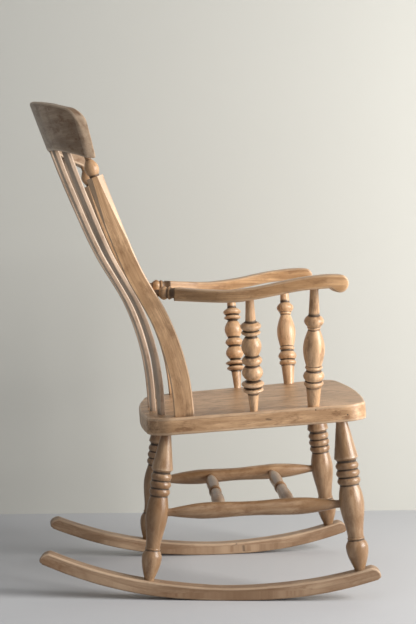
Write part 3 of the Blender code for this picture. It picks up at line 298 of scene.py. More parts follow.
class StudioLook(bpy.types.PropertyGroup):
    """The plain studio."""

    floor: colour("Floor", "Colour of the floor", (0.54, 0.545, 0.56))
    wall: colour("Wall", "Colour of the backdrop", (0.53, 0.525, 0.485))
    window: FloatProperty(name="Window", description="Power of the soft main light", default=165,
                          unit="POWER")
    fill: FloatProperty(name="Fill", description="Strength of the light from all round", default=0.27)
    wall_x: length("Backdrop", "Distance of the backdrop from the middle", 0.78)


class ChairSettings(bpy.types.PropertyGroup):
    """Everything a user can change."""

    seat: PointerProperty(type=SeatSizes)
    rockers: PointerProperty(type=RockerSizes)
    legs: PointerProperty(type=LegSizes)
    back: PointerProperty(type=BackSizes)
    arms: PointerProperty(type=ArmSizes)
    wood: PointerProperty(type=WoodLook)
    studio: PointerProperty(type=StudioLook)


def settings():
    """The chair's settings in the current scene."""
    return bpy.context.scene.rocking_chair


# ---- Curves, frames and outlines ---------------------------------------------------------------

def spline(points, position):
    """Catmull-Rom curve through points, read at a value of their first number."""
    last = len(points) - 3
    forwards = points[-1][0] > points[0][0]
    index = 1
    while index < last and (position > points[index + 1][0]) == forwards:
        index += 1
    before, start, end, after = points[index - 1:index + 3]
    span = end[0] - start[0]
    part = (position - start[0]) / span
    slope_start = (end[1] - before[1]) / (end[0] - before[0]) * span
    slope_end = (after[1] - start[1]) / (after[0] - start[0]) * span
    cube = part ** 3
    square = part ** 2
    return ((2 * cube - 3 * square + 1) * start[1] + (cube - 2 * square + part) * slope_start
            + (3 * square - 2 * cube) * end[1] + (cube - square) * slope_end)


def smooth_step(part):
    """Rises from 0 to 1 with level ends."""
    part = min(max(part, 0.0), 1.0)
    return part * part * (3 - 2 * part)


def sag(offset, radius):
    """How far a circle falls back at a distance from its middle."""
    return radius - math.sqrt(radius * radius - offset * offset)


def frame_along(direction, across):
    """Rotation whose Z follows direction and whose X lies as near to across as it can."""
    axis_z = direction.normalized()
    axis_x = (across - across.dot(axis_z) * axis_z).normalized()
    return Matrix((axis_x, axis_z.cross(axis_x), axis_z)).transposed()


def bar_ring(low, high, corners, flat=False):
    """Closed outline of a bar between two (x, y) corners: (x, y, wear) points.

    corners are the sizes of the two rear and the two front corners.
    """
    rear, front = corners
    spots = ((high[0] - rear, high[1] - rear, rear), (low[0] + rear, high[1] - rear, rear),
             (low[0] + front, low[1] + front, front), (high[0] - front, low[1] + front, front))
    ring = []
    for quarter, (x, y, size) in enumerate(spots):
        turn = quarter * math.pi / 2
        for index in range(CORNER_POINTS):
            part = index / (CORNER_POINTS - 1)
            if flat:
                reach = Vector((math.cos(turn), math.sin(turn))) * (1 - part)
                reach += Vector((-math.sin(turn), math.cos(turn))) * part
            else:
                angle = turn + part * math.pi / 2
                reach = Vector((math.cos(angle), math.sin(angle)))
            wear = 1.0 if 0 < index < CORNER_POINTS - 1 else 0.75
            ring.append((x + size * reach.x, y + size * reach.y, wear))
        following = spots[(quarter + 1) % 4]
        start = Vector(ring[-1][:2])
        heading = Vector((-math.sin(turn), math.cos(turn)))
        end = Vector(following[:2]) + heading * following[2]
        beside = min(0.0016 / max((end - start).length, 1e-6), 0.25)
        for part in (beside, 0.5, 1 - beside):
            spot = start.lerp(end, part)
            ring.append((spot.x, spot.y, 0.0))
    return ring


def round_ring(radius, points=RING):
    """Circle whose points line up with a bar's outline."""
    start = math.radians(15)
    return [(radius * math.cos(start + 2 * math.pi * index / points),
             radius * math.sin(start + 2 * math.pi * index / points), 0.0) for index in range(points)]


# ---- Meshes ------------------------------------------------------------------------------------

class Skin:
    """Closed body made of a row of outlines, with its grain direction, wear, and dirt with painted shade."""

    def __init__(self, seed):
        self.rings = []
        self.grain = []
        self.wear = []
        self.grime = []
        self.seed = Vector((seed * 0.371, seed * 0.173, seed * 1.117))

    def add(self, points, grain, wear, grime=0.0):
        """Adds one outline; wear is a list, and the dirt with painted shade is the same all round."""
        self.rings.append(points)
        self.grain += [Vector(spot) + self.seed for spot in grain]
        self.wear += wear
        self.grime += [grime] * len(points)

    def build(self, name, nodes, slot, material, roughen=0.00025):
        """Makes the object, hands it its material and puts it on the frame in place of its nodes."""
        shift = frame_shift()
        noise.seed_set(SURFACE_SEED)
        spots = []
        for ring in self.rings:
            for point in ring:
                lump = noise.noise_vector(point * 38 + self.seed) * roughen
                spots.append(point + shift + lump)
        count = len(self.rings[0])
        faces = [tuple(range(count))[::-1]]
        for row in range(len(self.rings) - 1):
            for index in range(count):
                after = (index + 1) % count
                faces.append((row * count + index, row * count + after,
                              (row + 1) * count + after, (row + 1) * count + index))
        faces.append(tuple(range((len(self.rings) - 1) * count, len(self.rings) * count)))
        data = bpy.data.meshes.new(name)
        data.from_pydata(spots, [], faces)
        grain = data.attributes.new("grain", "FLOAT_VECTOR", "POINT")
        grain.data.foreach_set("vector", [value for spot in self.grain for value in spot])
        for label, values in (("wear", self.wear), ("grime", self.grime)):
            data.attributes.new(label, "FLOAT", "POINT").data.foreach_set("value", values)
        work = bmesh.new()
        work.from_mesh(data)
        bmesh.ops.recalc_face_normals(work, faces=work.faces)
        work.to_mesh(data)
        work.free()
        data.shade_smooth()
        data.set_sharp_from_angle(angle=math.radians(32))
        piece = bpy.data.objects.new(name, data)
        bpy.context.scene.collection.objects.link(piece)
        data.materials.append(material)
        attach(piece, "root")
        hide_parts(*nodes)
        return piece


def frame_shift():
    """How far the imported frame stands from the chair's own middle."""
    low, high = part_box("cross_stretcher_front")
    return Vector((0, (low[1] + high[1]) / 2 - settings().legs.cross_front, FLOOR_GAP))


def add_ring(skin, outline, origin, rotation, along, grime=0.0):
    """Adds an (x, y, wear) outline, placed in space, to a skin."""
    points = [origin + rotation @ Vector((x, y, 0)) for x, y, wear in outline]
    skin.add(points, [(x, y, along) for x, y, wear in outline], [wear for x, y, wear in outline], grime)


# ---- Turning -----------------------------------------------------------------------------------

def element_radius(shape, part, start, end, bulge):
    """Radius part of the way along one element of a turned pattern."""
    straight = start + (end - start) * part
    if shape == "bead":
        return straight + bulge * math.sin(math.pi * part)
    if shape == "cove":
        return straight - bulge * math.sin(math.pi * part)
    if shape == "ease":
        return start + (end - start) * smooth_step(part)
    if shape == "belly_up":
        return start + (end - start) * math.sin(math.pi / 2 * part)
    if shape == "belly_down":
        return end + (start - end) * math.cos(math.pi / 2 * part)
    return straight


def pattern_points(start_radius, pattern, total, girth=1.0):
    """(height, radius) points of a pattern stretched to a length."""
    stretch = total / sum(element[1] for element in pattern)
    points = [(0.0, start_radius * girth)]
    height = 0.0
    radius = start_radius
    for shape, span, end_radius, bulge in pattern:
        steps = ELEMENT_STEPS[shape]
        for step in range(1, steps + 1):
            part = step / steps
            if shape in ("bead", "cove"):
                part = (1 - math.cos(math.pi * part)) / 2
            reached = element_radius(shape, part, radius, end_radius, bulge)
            points.append(((height + span * part) * stretch, reached * girth))
        height += span
        radius = end_radius
    return points


def radius_at(points, height):
    """Radius of a turned piece at a height."""
    for lower, upper in zip(points, points[1:]):
        if lower[0] <= height <= upper[0]:
            part = (height - lower[0]) / max(upper[0] - lower[0], 1e-9)
            return lower[1] + part * (upper[1] - lower[1])
    return points[-1][1]


def relief(points, height, radius):
    """(wear, dirt with painted shade) of a turned ring, from how proud it stands of its neighbourhood; sunk rings
    get the painted shade of a recess.
    """
    window = 0.0055
    near = [radius_at(points, min(max(height + window * step / 3, points[0][0]), points[-1][0]))
            for step in range(-3, 4)]
    proud = radius - sum(near) / len(near)
    return min(max(proud / 0.0022, 0.0), 1.0), min(max(-proud / 0.0016, 0.0), 1.0)


def turned_skin(seed, points, start, end):
    """Skin of a turned piece whose pattern's zero height is at start."""
    skin = Skin(seed)
    rotation = frame_along(end - start, Vector((1, 1, 0)))
    axis = (end - start).normalized()
    for height, radius in points:
        wear, grime = relief(points, height, radius)
        ring = [(x, y, wear) for x, y, flat in round_ring(radius, TURNED_SEGMENTS)]
        add_ring(skin, ring, start + axis * height, rotation, height, grime)
    return skin


# ---- Seat --------------------------------------------------------------------------------------

def seat_top(x, y):
    """Point on the seat's top face."""
    seat = settings().seat
    return Vector((x, y, seat.height - math.tan(seat.tilt) * y))


def seat_normal():
    """Direction in which the seat's top face points."""
    tilt = settings().seat.tilt
    return Vector((0, math.sin(tilt), math.cos(tilt)))


def seat_under(x, y):
    """Point on the seat's underside."""
    seat = settings().seat
    return seat_top(x, y) - Vector((0, 0, seat.thickness / math.cos(seat.tilt)))


def seat_half_width(y):
    """Distance of the seat's side edge from the centre plane."""
    seat = settings().seat
    part = (seat.rear - y) / (seat.rear + seat.front)
    return (seat.width_rear + part * (seat.width_front - seat.width_rear)) / 2


def round_corner(before, corner, after, radius, steps):
    """Points of a round corner between two straight edges."""
    to_before = (before - corner).normalized()
    to_after = (after - corner).normalized()
    half_angle = to_before.angle(to_after) / 2
    reach = radius / math.tan(half_angle)
    centre = corner + (to_before + to_after).normalized() * radius / math.sin(half_angle)
    first = corner + to_before * reach - centre
    turn = first.angle_signed(corner + to_after * reach - centre)
    return [centre + Matrix.Rotation(-turn * step / steps, 2) @ first for step in range(steps + 1)]


def edge_points(start, end, bow, steps):
    """Points between two corners on an edge that bulges to its right-hand side."""
    along = end - start
    outward = Vector((along.y, -along.x)).normalized()
    points = []
    for step in range(1, steps):
        part = step / steps
        points.append(start + along * part + outward * bow * 4 * part * (1 - part))
    return points


def seat_outline():
    """Plan of the seat, counter-clockwise."""
    seat = settings().seat
    front_y = -seat.front + seat.bow_front
    rear_y = seat.rear - seat.bow_rear
    corners = [Vector((-seat_half_width(front_y), front_y)), Vector((seat_half_width(front_y), front_y)),
               Vector((seat_half_width(rear_y), rear_y)), Vector((-seat_half_width(rear_y), rear_y))]
    radii = (seat.corner_front, seat.corner_front, seat.corner_rear, seat.corner_rear)
    bows = (seat.bow_front, 0.0, seat.bow_rear, 0.0)
    arcs = [round_corner(corners[index - 1], corners[index], corners[(index + 1) % 4], radii[index], 14)
            for index in range(4)]
    outline = []
    for index in range(4):
        outline += arcs[index]
        outline += edge_points(arcs[index][-1], arcs[(index + 1) % 4][0], bows[index], 16)
    return outline


def inset_outline(outline, inset):
    """Outline moved inwards along its own normals."""
    count = len(outline)
    moved = []
    for index, point in enumerate(outline):
        along = outline[(index + 1) % count] - outline[index - 1]
        moved.append(point + Vector((-along.y, along.x)).normalized() * inset)
    return moved


def edge_profile(size, low, high, middle_steps):
    """(inset, height, wear) points up a slab's rounded side."""
    steps = 5
    profile = [(size * 3, low, 0.0), (size * 1.6, low, 0.15)]
    for step in range(steps + 1):
        angle = math.pi / 2 * step / steps
        profile.append((size * (1 - math.sin(angle)), low + size * (1 - math.cos(angle)), 1.0))
    for step in range(1, middle_steps):
        profile.append((0.0, low + size + (high - low - 2 * size) * step / middle_steps, 0.0))
    for step in range(steps + 1):
        angle = math.pi / 2 * (1 - step / steps)
        profile.append((size * (1 - math.sin(angle)), high - size * (1 - math.cos(angle)), 1.0))
    return profile + [(size * 1.6, high, 0.15), (size * 3, high, 0.0)]


def build_seat():
    """Thick plank with worn, rounded edges."""
    seat = settings().seat
    outline = seat_outline()
    rotation = Matrix.Rotation(-seat.tilt, 3, "X")
    centre = Vector((0, (seat.rear - seat.front) / 2))
    base = Vector((0, 0, seat.height))
    skin = Skin(3)
    inner = (0.60, 0.30)
    rows = [([centre + (point - centre) * (1 - size) for point in outline], -seat.thickness, 0.0)
            for size in inner]
    for inset, height, wear in edge_profile(seat.edge, -seat.thickness, 0, 6):
        rows.append((inset_outline(outline, inset), height, wear))
    rows += [([centre + (point - centre) * (1 - size) for point in outline], 0.0, 0.0)
             for size in (0.12, 0.30, 0.60)]
    for plan, height, wear in rows:
        points = []
        wears = []
        for point in plan:
            chip = max(noise.noise(Vector((point.x, point.y, height)) * 55), 0.0) * 0.0011 * wear
            inward = (centre - point).normalized() * chip
            points.append(base + rotation @ Vector((point.x + inward.x, point.y + inward.y, height)))
            wears.append(wear)
        skin.add(points, [(point.x, height, point.y) for point in plan], wears)
    skin.build("seat_plank", ["seat"], "seat_plank", seat_wood(), 0.0004)


# ---- Rockers -----------------------------------------------------------------------------------

def rocker_turn():
    """Angle in plan by which a rocker spreads towards the front."""
    legs = settings().legs
    return math.atan2(legs.front_foot_x - legs.rear_foot_x, legs.rear_foot_y - legs.front_foot_y)


def rocker_middle(side):
    """Point on the floor under a rocker's low point."""
    legs = settings().legs
    low = settings().rockers.low_point
    return Vector((side * (legs.rear_foot_x + (legs.rear_foot_y - low) * math.tan(rocker_turn())), low, 0))


def rocker_bottom(along):
    """Height of the running edge."""
    rocker = settings().rockers
    reach = abs(along)
    if reach <= rocker.flat_reach:
        return sag(reach, rocker.flat_radius)
    beyond = reach - rocker.flat_reach
    return (sag(rocker.flat_reach, rocker.flat_radius) + rocker.flat_reach / rocker.flat_radius * beyond
            + beyond ** 2 / (2 * rocker.end_radius))


def rocker_top(along):
    """Height of the upper edge."""
    rocker = settings().rockers
    swell = smooth_step(abs(along) / (1.6 * rocker.flat_reach))
    return rocker_bottom(along) + rocker.depth_middle + swell * (rocker.depth_legs - rocker.depth_middle)


def rocker_end(tip, inward):
    """Rounded end of the side outline, from its heel up to its top edge."""
    rocker = settings().rockers
    heel = rocker_bottom(tip) + rocker.heel
    crown = rocker_top(tip + inward * rocker.nose)
    points = []
    for step in range(1, 5):
        angle = math.pi / 2 * step / 5
        points.append(Vector((tip + inward * rocker.heel * (1 - math.sin(angle)),
                              heel - rocker.heel * math.cos(angle))))
    for step in range(10):
        angle = math.pi / 2 * step / 10
        points.append(Vector((tip + inward * rocker.nose * (1 - math.cos(angle)),
                              heel + (crown - heel) * math.sin(angle))))
    return points


def build_rocker(name, side, seed):
    """Curved bar with eased edges."""
    rocker = settings().rockers
    near = -rocker.reach_front
    far = rocker.reach_rear
    steps = 60
    outline = []
    for step in range(steps + 1):
        along = near + rocker.heel + (far - near - 2 * rocker.heel) * step / steps
        outline.append(Vector((along, rocker_bottom(along))))
    outline += rocker_end(far, -1)
    for step in range(steps + 1):
        along = far - rocker.nose + (near - far + 2 * rocker.nose) * step / steps
        outline.append(Vector((along, rocker_top(along))))
    outline += rocker_end(near, 1)[::-1]
    half = rocker.thickness / 2
    turn = Matrix.Rotation(side * rocker_turn(), 3, "Z")
    skin = Skin(seed)
    for inset, x, wear in edge_profile(rocker.edge, -half, half, 4)[1:-1]:
        plan = inset_outline(outline, inset)
        points = [rocker_middle(side) + turn @ Vector((x, point.x, point.y)) for point in plan]
        wears = [wear * (0.4 + 0.6 * smooth_step((point.y - rocker_bottom(point.x)) / 0.02)) for point in plan]
        skin.add(points, [(x, point.y - rocker_bottom(point.x), point.x) for point in plan], wears)
    skin.build(name + "_bar", [name], "rocker_wood", rocker_wood(), 0.0003)


# ---- Legs and stretchers -----------------------------------------------------------------------

class Leg:
    """Axis and turned pattern of one leg."""

    def __init__(self, side, place):
        legs = settings().legs
        foot = (getattr(legs, place + "_foot_x"), getattr(legs, place + "_foot_y"))
        top_y = getattr(legs, place + "_top_y")
        girth = legs.girth_rear if place == "rear" else 1.0
        along = (foot[1] - settings().rockers.low_point) / math.cos(rocker_turn())
        self.start = Vector((side * foot[0], foot[1], rocker_top(along)))
        self.end = seat_under(side * (seat_half_width(top_y) - legs.inset), top_y)
        self.direction = (self.end - self.start).normalized()
        total = (self.end - self.start).length
        straight = (0.004, 0.005)
        pattern_length = sum(element[1] for element in LEG_PATTERN)
        turned = total - sum(straight)
        shaft = (("line", turned - pattern_length, LEG_TOP_RADIUS, 0),)
        self.points = [(height + straight[0], radius) for height, radius
                       in pattern_points(LEG_FOOT_RADIUS, LEG_PATTERN + shaft, turned, girth)]
        self.whole = ([(-0.015, LEG_FOOT_RADIUS * girth)] + self.points
                      + [(total + 0.020, LEG_TOP_RADIUS * girth)])

    def point_at(self, height):
        """Point on the axis at a world height."""
        return self.start + self.direction * ((height - self.start.z) / self.direction.z)

    def radius_near(self, point):
        """Radius of the leg where its axis passes a point."""
        return radius_at(self.points, (point - self.start).length)


class Stretcher:
    """Turned bar between two turned pieces."""

    def __init__(self, start, end, start_cover, end_cover, end_radius, pattern):
        self.direction = (end - start).normalized()
        self.start = start + self.direction * start_cover
        self.end = end - self.direction * end_cover
        self.length = (self.end - self.start).length
        self.points = pattern_points(end_radius, pattern, self.length)
        self.whole = [(-0.008, end_radius)] + self.points[1:-1] + [(self.length + 0.008, end_radius)]


def side_stretcher(side):
    """Bar between the legs of one side."""
    legs = settings().legs
    rear = Leg(side, "rear")
    front = Leg(side, "front")
    start = rear.point_at(legs.side_rear)
    end = front.point_at(legs.side_front)
    return Stretcher(start, end, rear.radius_near(start), front.radius_near(end),
                     SIDE_END_RADIUS, SIDE_STRETCHER_PATTERN)


def cross_stretcher(y):
    """Bar between the two side stretchers."""
    points = []
    covers = []
    for side in (-1, 1):
        bar = side_stretcher(side)
        reach = (y - bar.start.y) / bar.direction.y
        points.append(bar.start + bar.direction * reach)
        covers.append(radius_at(bar.points, reach))
    return Stretcher(points[0], points[1], covers[0], covers[1], CROSS_END_RADIUS, CROSS_STRETCHER_PATTERN)


# ---- Back --------------------------------------------------------------------------------------

class Upright:
    """Centreline of a back upright."""

    def __init__(self, side):
        back = settings().back
        self.side = side
        self.setback = back.setback + (back.rack if side > 0 else 0)
        self.foot = seat_top(side * (seat_half_width(back.foot_y) - back.inset), back.foot_y)
        self.top = self.point_at(1.0)
        self.top_direction = (self.point_at(1.0) - self.point_at(0.99)).normalized()

    def point_at(self, part):
        """Point on the centreline at a share of the back's height."""
        back = settings().back
        return self.foot + Vector((self.side * back.splay * part,
                                   self.setback * spline(BACK_BEND, part), back.height * part))

    def direction_at(self, part):
        """Direction of the centreline there."""
        return (self.point_at(part + 0.01) - self.point_at(part - 0.01)).normalized()

    def depth_at(self, part):
        """Front to back size there."""
        back = settings().back
        return back.depth_foot + (back.depth_top - back.depth_foot) * smooth_step(part * 1.2)

    def front_at(self, height):
        """Point on the middle of the front face, at a height above the seat."""
        part = height / settings().back.height
        lean = self.direction_at(part)
        depth = self.depth_at(part) / 2 * math.hypot(lean.y, lean.z) / lean.z
        return self.point_at(part) - Vector((0, depth, 0))

    def crest_seat(self):
        """Point where the turned top enters the crest rail."""
        return self.top + self.top_direction * (settings().back.pommel / self.top_direction.z)


def build_upright(name, side, seed):
    """Sawn upright with stopped chamfers under its turned top."""
    back = settings().back
    upright = Upright(side)
    across = Vector((1, 0, 0))
    skin = Skin(seed)
    half = back.upright_width / 2
    base = frame_along(seat_normal(), across)
    stations = 64
    depth = upright.depth_at(0) / 2
    foot = bar_ring((-half, -depth), (half, depth), (back.edge, back.edge), flat=True)
    # Painted shade where the upright stands in the seat: the foot rings are darkened
    for sink in (0.006, -0.0004):
        add_ring(skin, foot, upright.foot - seat_normal() * sink, base, -sink, 0.6)
    for step in range(1, stations + 1):
        part = step / stations
        rotation = frame_along(upright.direction_at(part), across)
        corners = []
        for reach in (back.chamfer_rear, back.chamfer_front):
            fade = max((part - 1 + reach) / reach, 0) ** 0.8
            corners.append(back.edge + (back.chamfer - back.edge) * fade)
        depth = upright.depth_at(part) / 2
        ring = bar_ring((-half, -depth), (half, depth), corners, flat=True)
        # Painted shade at the foot fades out a little way up the upright
        grime = 0.55 * max(1 - part * 22, 0)
        add_ring(skin, ring, upright.point_at(part), rotation, back.height * part, grime)
    rotation = frame_along(upright.top_direction, across)
    total = (upright.crest_seat() - upright.top).length
    points = pattern_points(POMMEL_COLLAR_RADIUS, POMMEL_PATTERN, total)
    for height, radius in points + [(total + 0.01, POMMEL_NECK_RADIUS)]:
        wear, grime = relief(points, height, radius)
        ring = [(x, y, wear) for x, y, flat in round_ring(radius)]
        # Sunk rings get old wax and dirt with painted shade; the collar at the shoulder is darkened as well
        add_ring(skin, ring, upright.top + upright.top_direction * height, rotation,
                 back.height + height, max(grime, 0.9 if height < 0.004 else 0))
    skin.build(name + "_post", [name], "sawn_wood", sawn_wood(), 0.0002)


class Crest:
    """Shape of the crest rail, tied to the uprights' turned tops."""

    def __init__(self):
        back = settings().back
        uprights = (Upright(-1), Upright(1))
        right, left = [upright.crest_seat() for upright in uprights]
        self.anchor = Vector((left.x, (right.y + left.y) / 2, left.z))
        self.rack = (left.y - right.y) / (left.x - right.x)
        self.lean = sum(upright.top_direction.y / upright.top_direction.z for upright in uprights) / 2
        self.middle_radius = back.crest_radius - back.crest_thickness / 2
        self.bottom = self.anchor.z + back.arch_bottom * self.arch(self.anchor.x)
        self.half = back.crest_length / 2
        slope = 2 * back.arch_top / self.half
        sweep = math.pi / 2 - math.atan(slope)
        self.shoulder = self.half - back.crest_corner * (1 - math.cos(sweep))
        self.corner_z = (self.bottom + back.crest_rise - back.arch_top * self.arch(self.shoulder)
                         - back.crest_corner * math.sin(sweep))

    def arch(self, x):
        """Share of an edge's arch lost at a distance from the middle."""
        return (x / (settings().back.crest_length / 2)) ** 2

    def bottom_edge(self, x):
        """Height of the lower edge."""
        return self.bottom - settings().back.arch_bottom * self.arch(x)

    def top_edge(self, x):
        """Height of the upper edge, round corners included."""
        back = settings().back
        reach = abs(x)
        if reach <= self.shoulder:
            return self.bottom + back.crest_rise - back.arch_top * self.arch(reach)
        offset = min(reach - (self.half - back.crest_corner), back.crest_corner)
        return self.corner_z + math.sqrt(max(back.crest_corner ** 2 - offset ** 2, 0))

    def surface_y(self, x, z, radius):
        """Depth of a surface of the rail that is bent to this radius."""
        change = sag(x, radius) - sag(self.anchor.x, self.middle_radius)
        lean = (z - self.anchor.z) * self.lean + x * self.rack
        return self.anchor.y + lean - change + radius - self.middle_radius

    def middle_point(self, x):
        """Point on the lower edge, half way through the board."""
        z = self.bottom_edge(x)
        return Vector((x, self.surface_y(x, z, self.middle_radius), z))


def build_crest():
    """Wide curved board with rounded edges and corners."""
    back = settings().back
    crest = Crest()
    skin = Skin(17)
    stations = 96
    ends = 6
    for step in range(-stations - ends, stations + ends + 1):
        inside = min(abs(step), stations)
        beyond = (abs(step) - inside) / ends
        shrink = back.crest_edge * (1 - math.sqrt(max(1 - beyond ** 2, 0)))
        angle = math.pi / 2 * inside / stations
        x = math.copysign((crest.half - back.crest_edge) * math.sin(angle) + back.crest_edge * beyond, step)
        low = crest.bottom_edge(x) + shrink
        high = max(crest.top_edge(x) - shrink - FACE_MARGIN, low + 0.02)
        half = back.crest_thickness / 2 - shrink
        edge = min(back.crest_edge, half * 0.95)
        points = []
        grain = []
        wears = []
        for depth, height, wear in bar_ring((-half, low), (half, high), (edge, edge)):
            drop = min(max((crest.corner_z - height) / (crest.corner_z - crest.bottom_edge(crest.half)), 0), 1)
            bent_x = x * (1 - back.crest_taper / crest.half * drop * (abs(x) / crest.half) ** 4)
            radius = crest.middle_radius + depth
            points.append(Vector((bent_x, crest.surface_y(bent_x, height, radius), height)))
            grain.append((depth, height, bent_x))
            # The end faces get the pale worn colour: painted light on the lit ends
            wears.append(max(wear, 0.8 if beyond > 0.1 else 0.0))
        skin.add(points, grain, wears)
    skin.build("crest_board", ["crest_rail"], "sawn_wood", crest_wood(), 0.0005)


def build_lath(index, crest):
    """Flat bent slat from the seat up into the crest rail."""
    back = settings().back
    x = (index - (back.laths - 1) / 2) * back.lath_spacing
    foot = seat_top(x, back.lath_foot - sag(x, back.lath_radius))
    rise = crest.middle_point(x) - foot
    turns = (math.asin(x / back.lath_radius), math.asin(x / crest.middle_radius) - math.atan(crest.rack))

    def point_at(part):
        bulge = back.lath_bulge * math.sin(math.pi * max(part, 0) ** 0.8) ** 2
        return foot + Vector((rise.x * part, rise.y * spline(BACK_BEND, part) - bulge, rise.z * part))

    skin = Skin(23 + index)
    stations = 60
    for step in range(stations + 1):
        part = -0.012 + 1.028 * step / stations
        turn = turns[0] + (turns[1] - turns[0]) * part
        across = Vector((math.cos(turn), -math.sin(turn), 0))
        direction = point_at(part + 0.01) - point_at(part - 0.01)
        half = (back.lath_width / 2, back.lath_thickness / 2)
        ring = bar_ring((-half[0], -half[1]), half, (0.0024, 0.0024))
        # Painted shade at both ends, where the lath enters the seat and the crest rail
        grime = 0.6 * max(1 - part * 20, 1 - (1 - part) * 20, 0)
        add_ring(skin, ring, point_at(part), frame_along(direction, across), rise.z * part, min(grime, 0.6))
    skin.build(f"lath_{index + 1}_slat", [f"lath_{index + 1}"], "lath_wood", lath_wood(), 0.0003)


# ---- Arms --------------------------------------------------------------------------------------

class Arm:
    """Swept centreline of one arm."""

    def __init__(self, side):
        arms = settings().arms
        upright = Upright(side)
        self.side = side
        face = upright.front_at(arms.joint_height)
        below = upright.front_at(arms.joint_height - arms.neck)
        self.joint = Vector((abs(face.x), face.y, face.z))
        self.body_start = self.joint.y - ARM_STUB_LENGTH
        ahead = [(self.placed(y), x) for y, x in ARM_PLAN]
        first = (self.joint.y, self.joint.x)
        guide = (2 * first[0] - ahead[0][0], first[1])
        self.plan = [guide, first] + ahead + [(ahead[-1][0] - 0.05, ahead[-1][1])]
        forward = self.forward_at(self.joint.y)
        self.clearance = face.y - below.y + arms.neck * abs(forward.x / forward.y) + 0.0012

    def placed(self, y):
        """A place on the nominal arm, stretched to this arm's own length."""
        first = ARM_SECTIONS[0][0]
        last = ARM_SECTIONS[-1][0]
        return last + (y - last) * (self.body_start - last) / (first - last)

    def point_at(self, y, height=0.0):
        """Point on the centreline, at a height above the joint."""
        return Vector((self.side * spline(self.plan, y), y, self.joint.z + height))

    def forward_at(self, y):
        """Level direction of the centreline, towards the front."""
        return (self.point_at(y - 0.002) - self.point_at(y + 0.002)).normalized()

    def section_at(self, y):
        """Top, bottom, outer and inner size of the arm at a place."""
        first = ARM_SECTIONS[0]
        last = ARM_SECTIONS[-1]
        sizes = []
        for column in range(1, 5):
            points = [(self.placed(entry[0]), entry[column]) for entry in ARM_SECTIONS]
            before = (self.body_start + 0.04, first[column])
            after = (last[0] - 0.03, last[column] + (last[column] - ARM_SECTIONS[-2][column]))
            sizes.append(spline([before] + points + [after], y))
        return sizes

    def under_at(self, y):
        """Point on the arm's underside, on the centreline."""
        return self.point_at(y, self.section_at(y)[1])

    def frame_at(self, y):
        """Frame across the arm: X towards the sitter, Y up."""
        forward = self.forward_at(y)
        up = Vector((0, 0, 1))
        inward = up.cross(forward) * -self.side
        return Matrix((inward, up, inward.cross(up))).transposed()


def stub_points(arm):
    """(distance ahead of the joint, radius) of the arm's turned stub."""
    arms = settings().arms
    pattern = (
        ("line", 0.0002, arms.neck, 0),
        ("bead", 0.0190, 0.0110, arms.ball - 0.0100),
        ("bead", 0.0075, 0.0122, arms.ball - 0.0122),
        ("cove", 0.0085, 0.0118, 0.0012),
    )
    total = ARM_STUB_LENGTH - 0.0022 - arm.clearance
    points = pattern_points(arms.tenon, pattern, total)
    return [(-0.012, arms.tenon)] + [(arm.clearance + height, radius) for height, radius in points]


def build_arm(name, side, seed):
    """Swept arm with a turned stub and a scrolled front end."""
    arms = settings().arms
    arm = Arm(side)
    skin = Skin(seed)
    joint = arm.point_at(arm.joint.y)
    forward = arm.forward_at(arm.joint.y)
    frame_start = arm.frame_at(arm.joint.y)
    points = stub_points(arm)
    for distance, radius in points:
        wear, grime = relief(points, distance, radius)
        # Painted shade on the stub: all of it a little darkened, and its last part, the cove facing the rear, fully
        # dark
        deep = distance > points[-1][0] - 0.009
        ring = [(x, y, wear * 0.4) for x, y, flat in round_ring(radius)]
        add_ring(skin, ring, joint + forward * distance, frame_start, -distance, 1.0 if deep else max(grime, 0.35))
    last = ARM_SECTIONS[-1][0]
    steps = 70
    for step in range(steps + 1):
        y = arm.body_start + (last - arm.body_start) * step / steps
        top, bottom, outer, inner = arm.section_at(y)
        ring = bar_ring((FACE_MARGIN - outer, bottom), (inner, top), (arms.edge, arms.edge))
        # The body's first ring, its rear end face, is painted with shade
        add_ring(skin, ring, arm.point_at(y), arm.frame_at(y), y, 0.9 if step == 0 else 0.0)
    top, bottom, outer, inner = arm.section_at(last)
    centre_y, centre_height = ARM_SCROLL_CENTRE
    steps = 22
    for step in range(steps):
        turn = math.radians(-40 + 127 * step / (steps - 1))
        y = centre_y - ARM_SCROLL_RADIUS * math.sin(turn)
        half = ARM_SCROLL_RADIUS * math.cos(turn)
        crown = half if turn > 0 else ARM_SCROLL_RADIUS
        ease = arms.edge * (1 - math.cos(turn)) if turn > 0 else 0
        corner = min(arms.edge, half * 0.9)
        ring = bar_ring((ease + FACE_MARGIN - outer, centre_height - half),
                        (inner - ease, centre_height + crown), (corner, corner))
        if turn > 0.6:
            ring = [(x, height, max(wear, 0.45)) for x, height, wear in ring]
        add_ring(skin, ring, arm.point_at(y), arm.frame_at(y), y)
    skin.build(name + "_rest", [name], "sawn_wood", arm_wood(), 0.0002)


def build_spindle(name, side, place, seed):
    """Turned support between the seat and an arm."""
    arms = settings().arms
    pattern = REAR_SPINDLE_PATTERN if place == "rear" else FRONT_SPINDLE_PATTERN
    foot_y = getattr(arms, place + "_foot")
    start = seat_top(side * (seat_half_width(foot_y) - getattr(arms, place + "_inset")), foot_y)
    end = Arm(side).under_at(getattr(arms, place + "_top"))
    total = (end - start).length
    points = [(height + 0.004, radius) for height, radius
              in pattern_points(SPINDLE_FOOT_RADIUS[place], pattern, total - 0.008)]
    whole = [(-0.015, SPINDLE_FOOT_RADIUS[place])] + points + [(total + 0.010, pattern[-1][2])]
    skin = turned_skin(seed, whole, start, end)
    skin.build(name + "_turned", [name], "turned_wood", spindle_wood(), 0.0002)


# ---- Shader groups -----------------------------------------------------------------------------

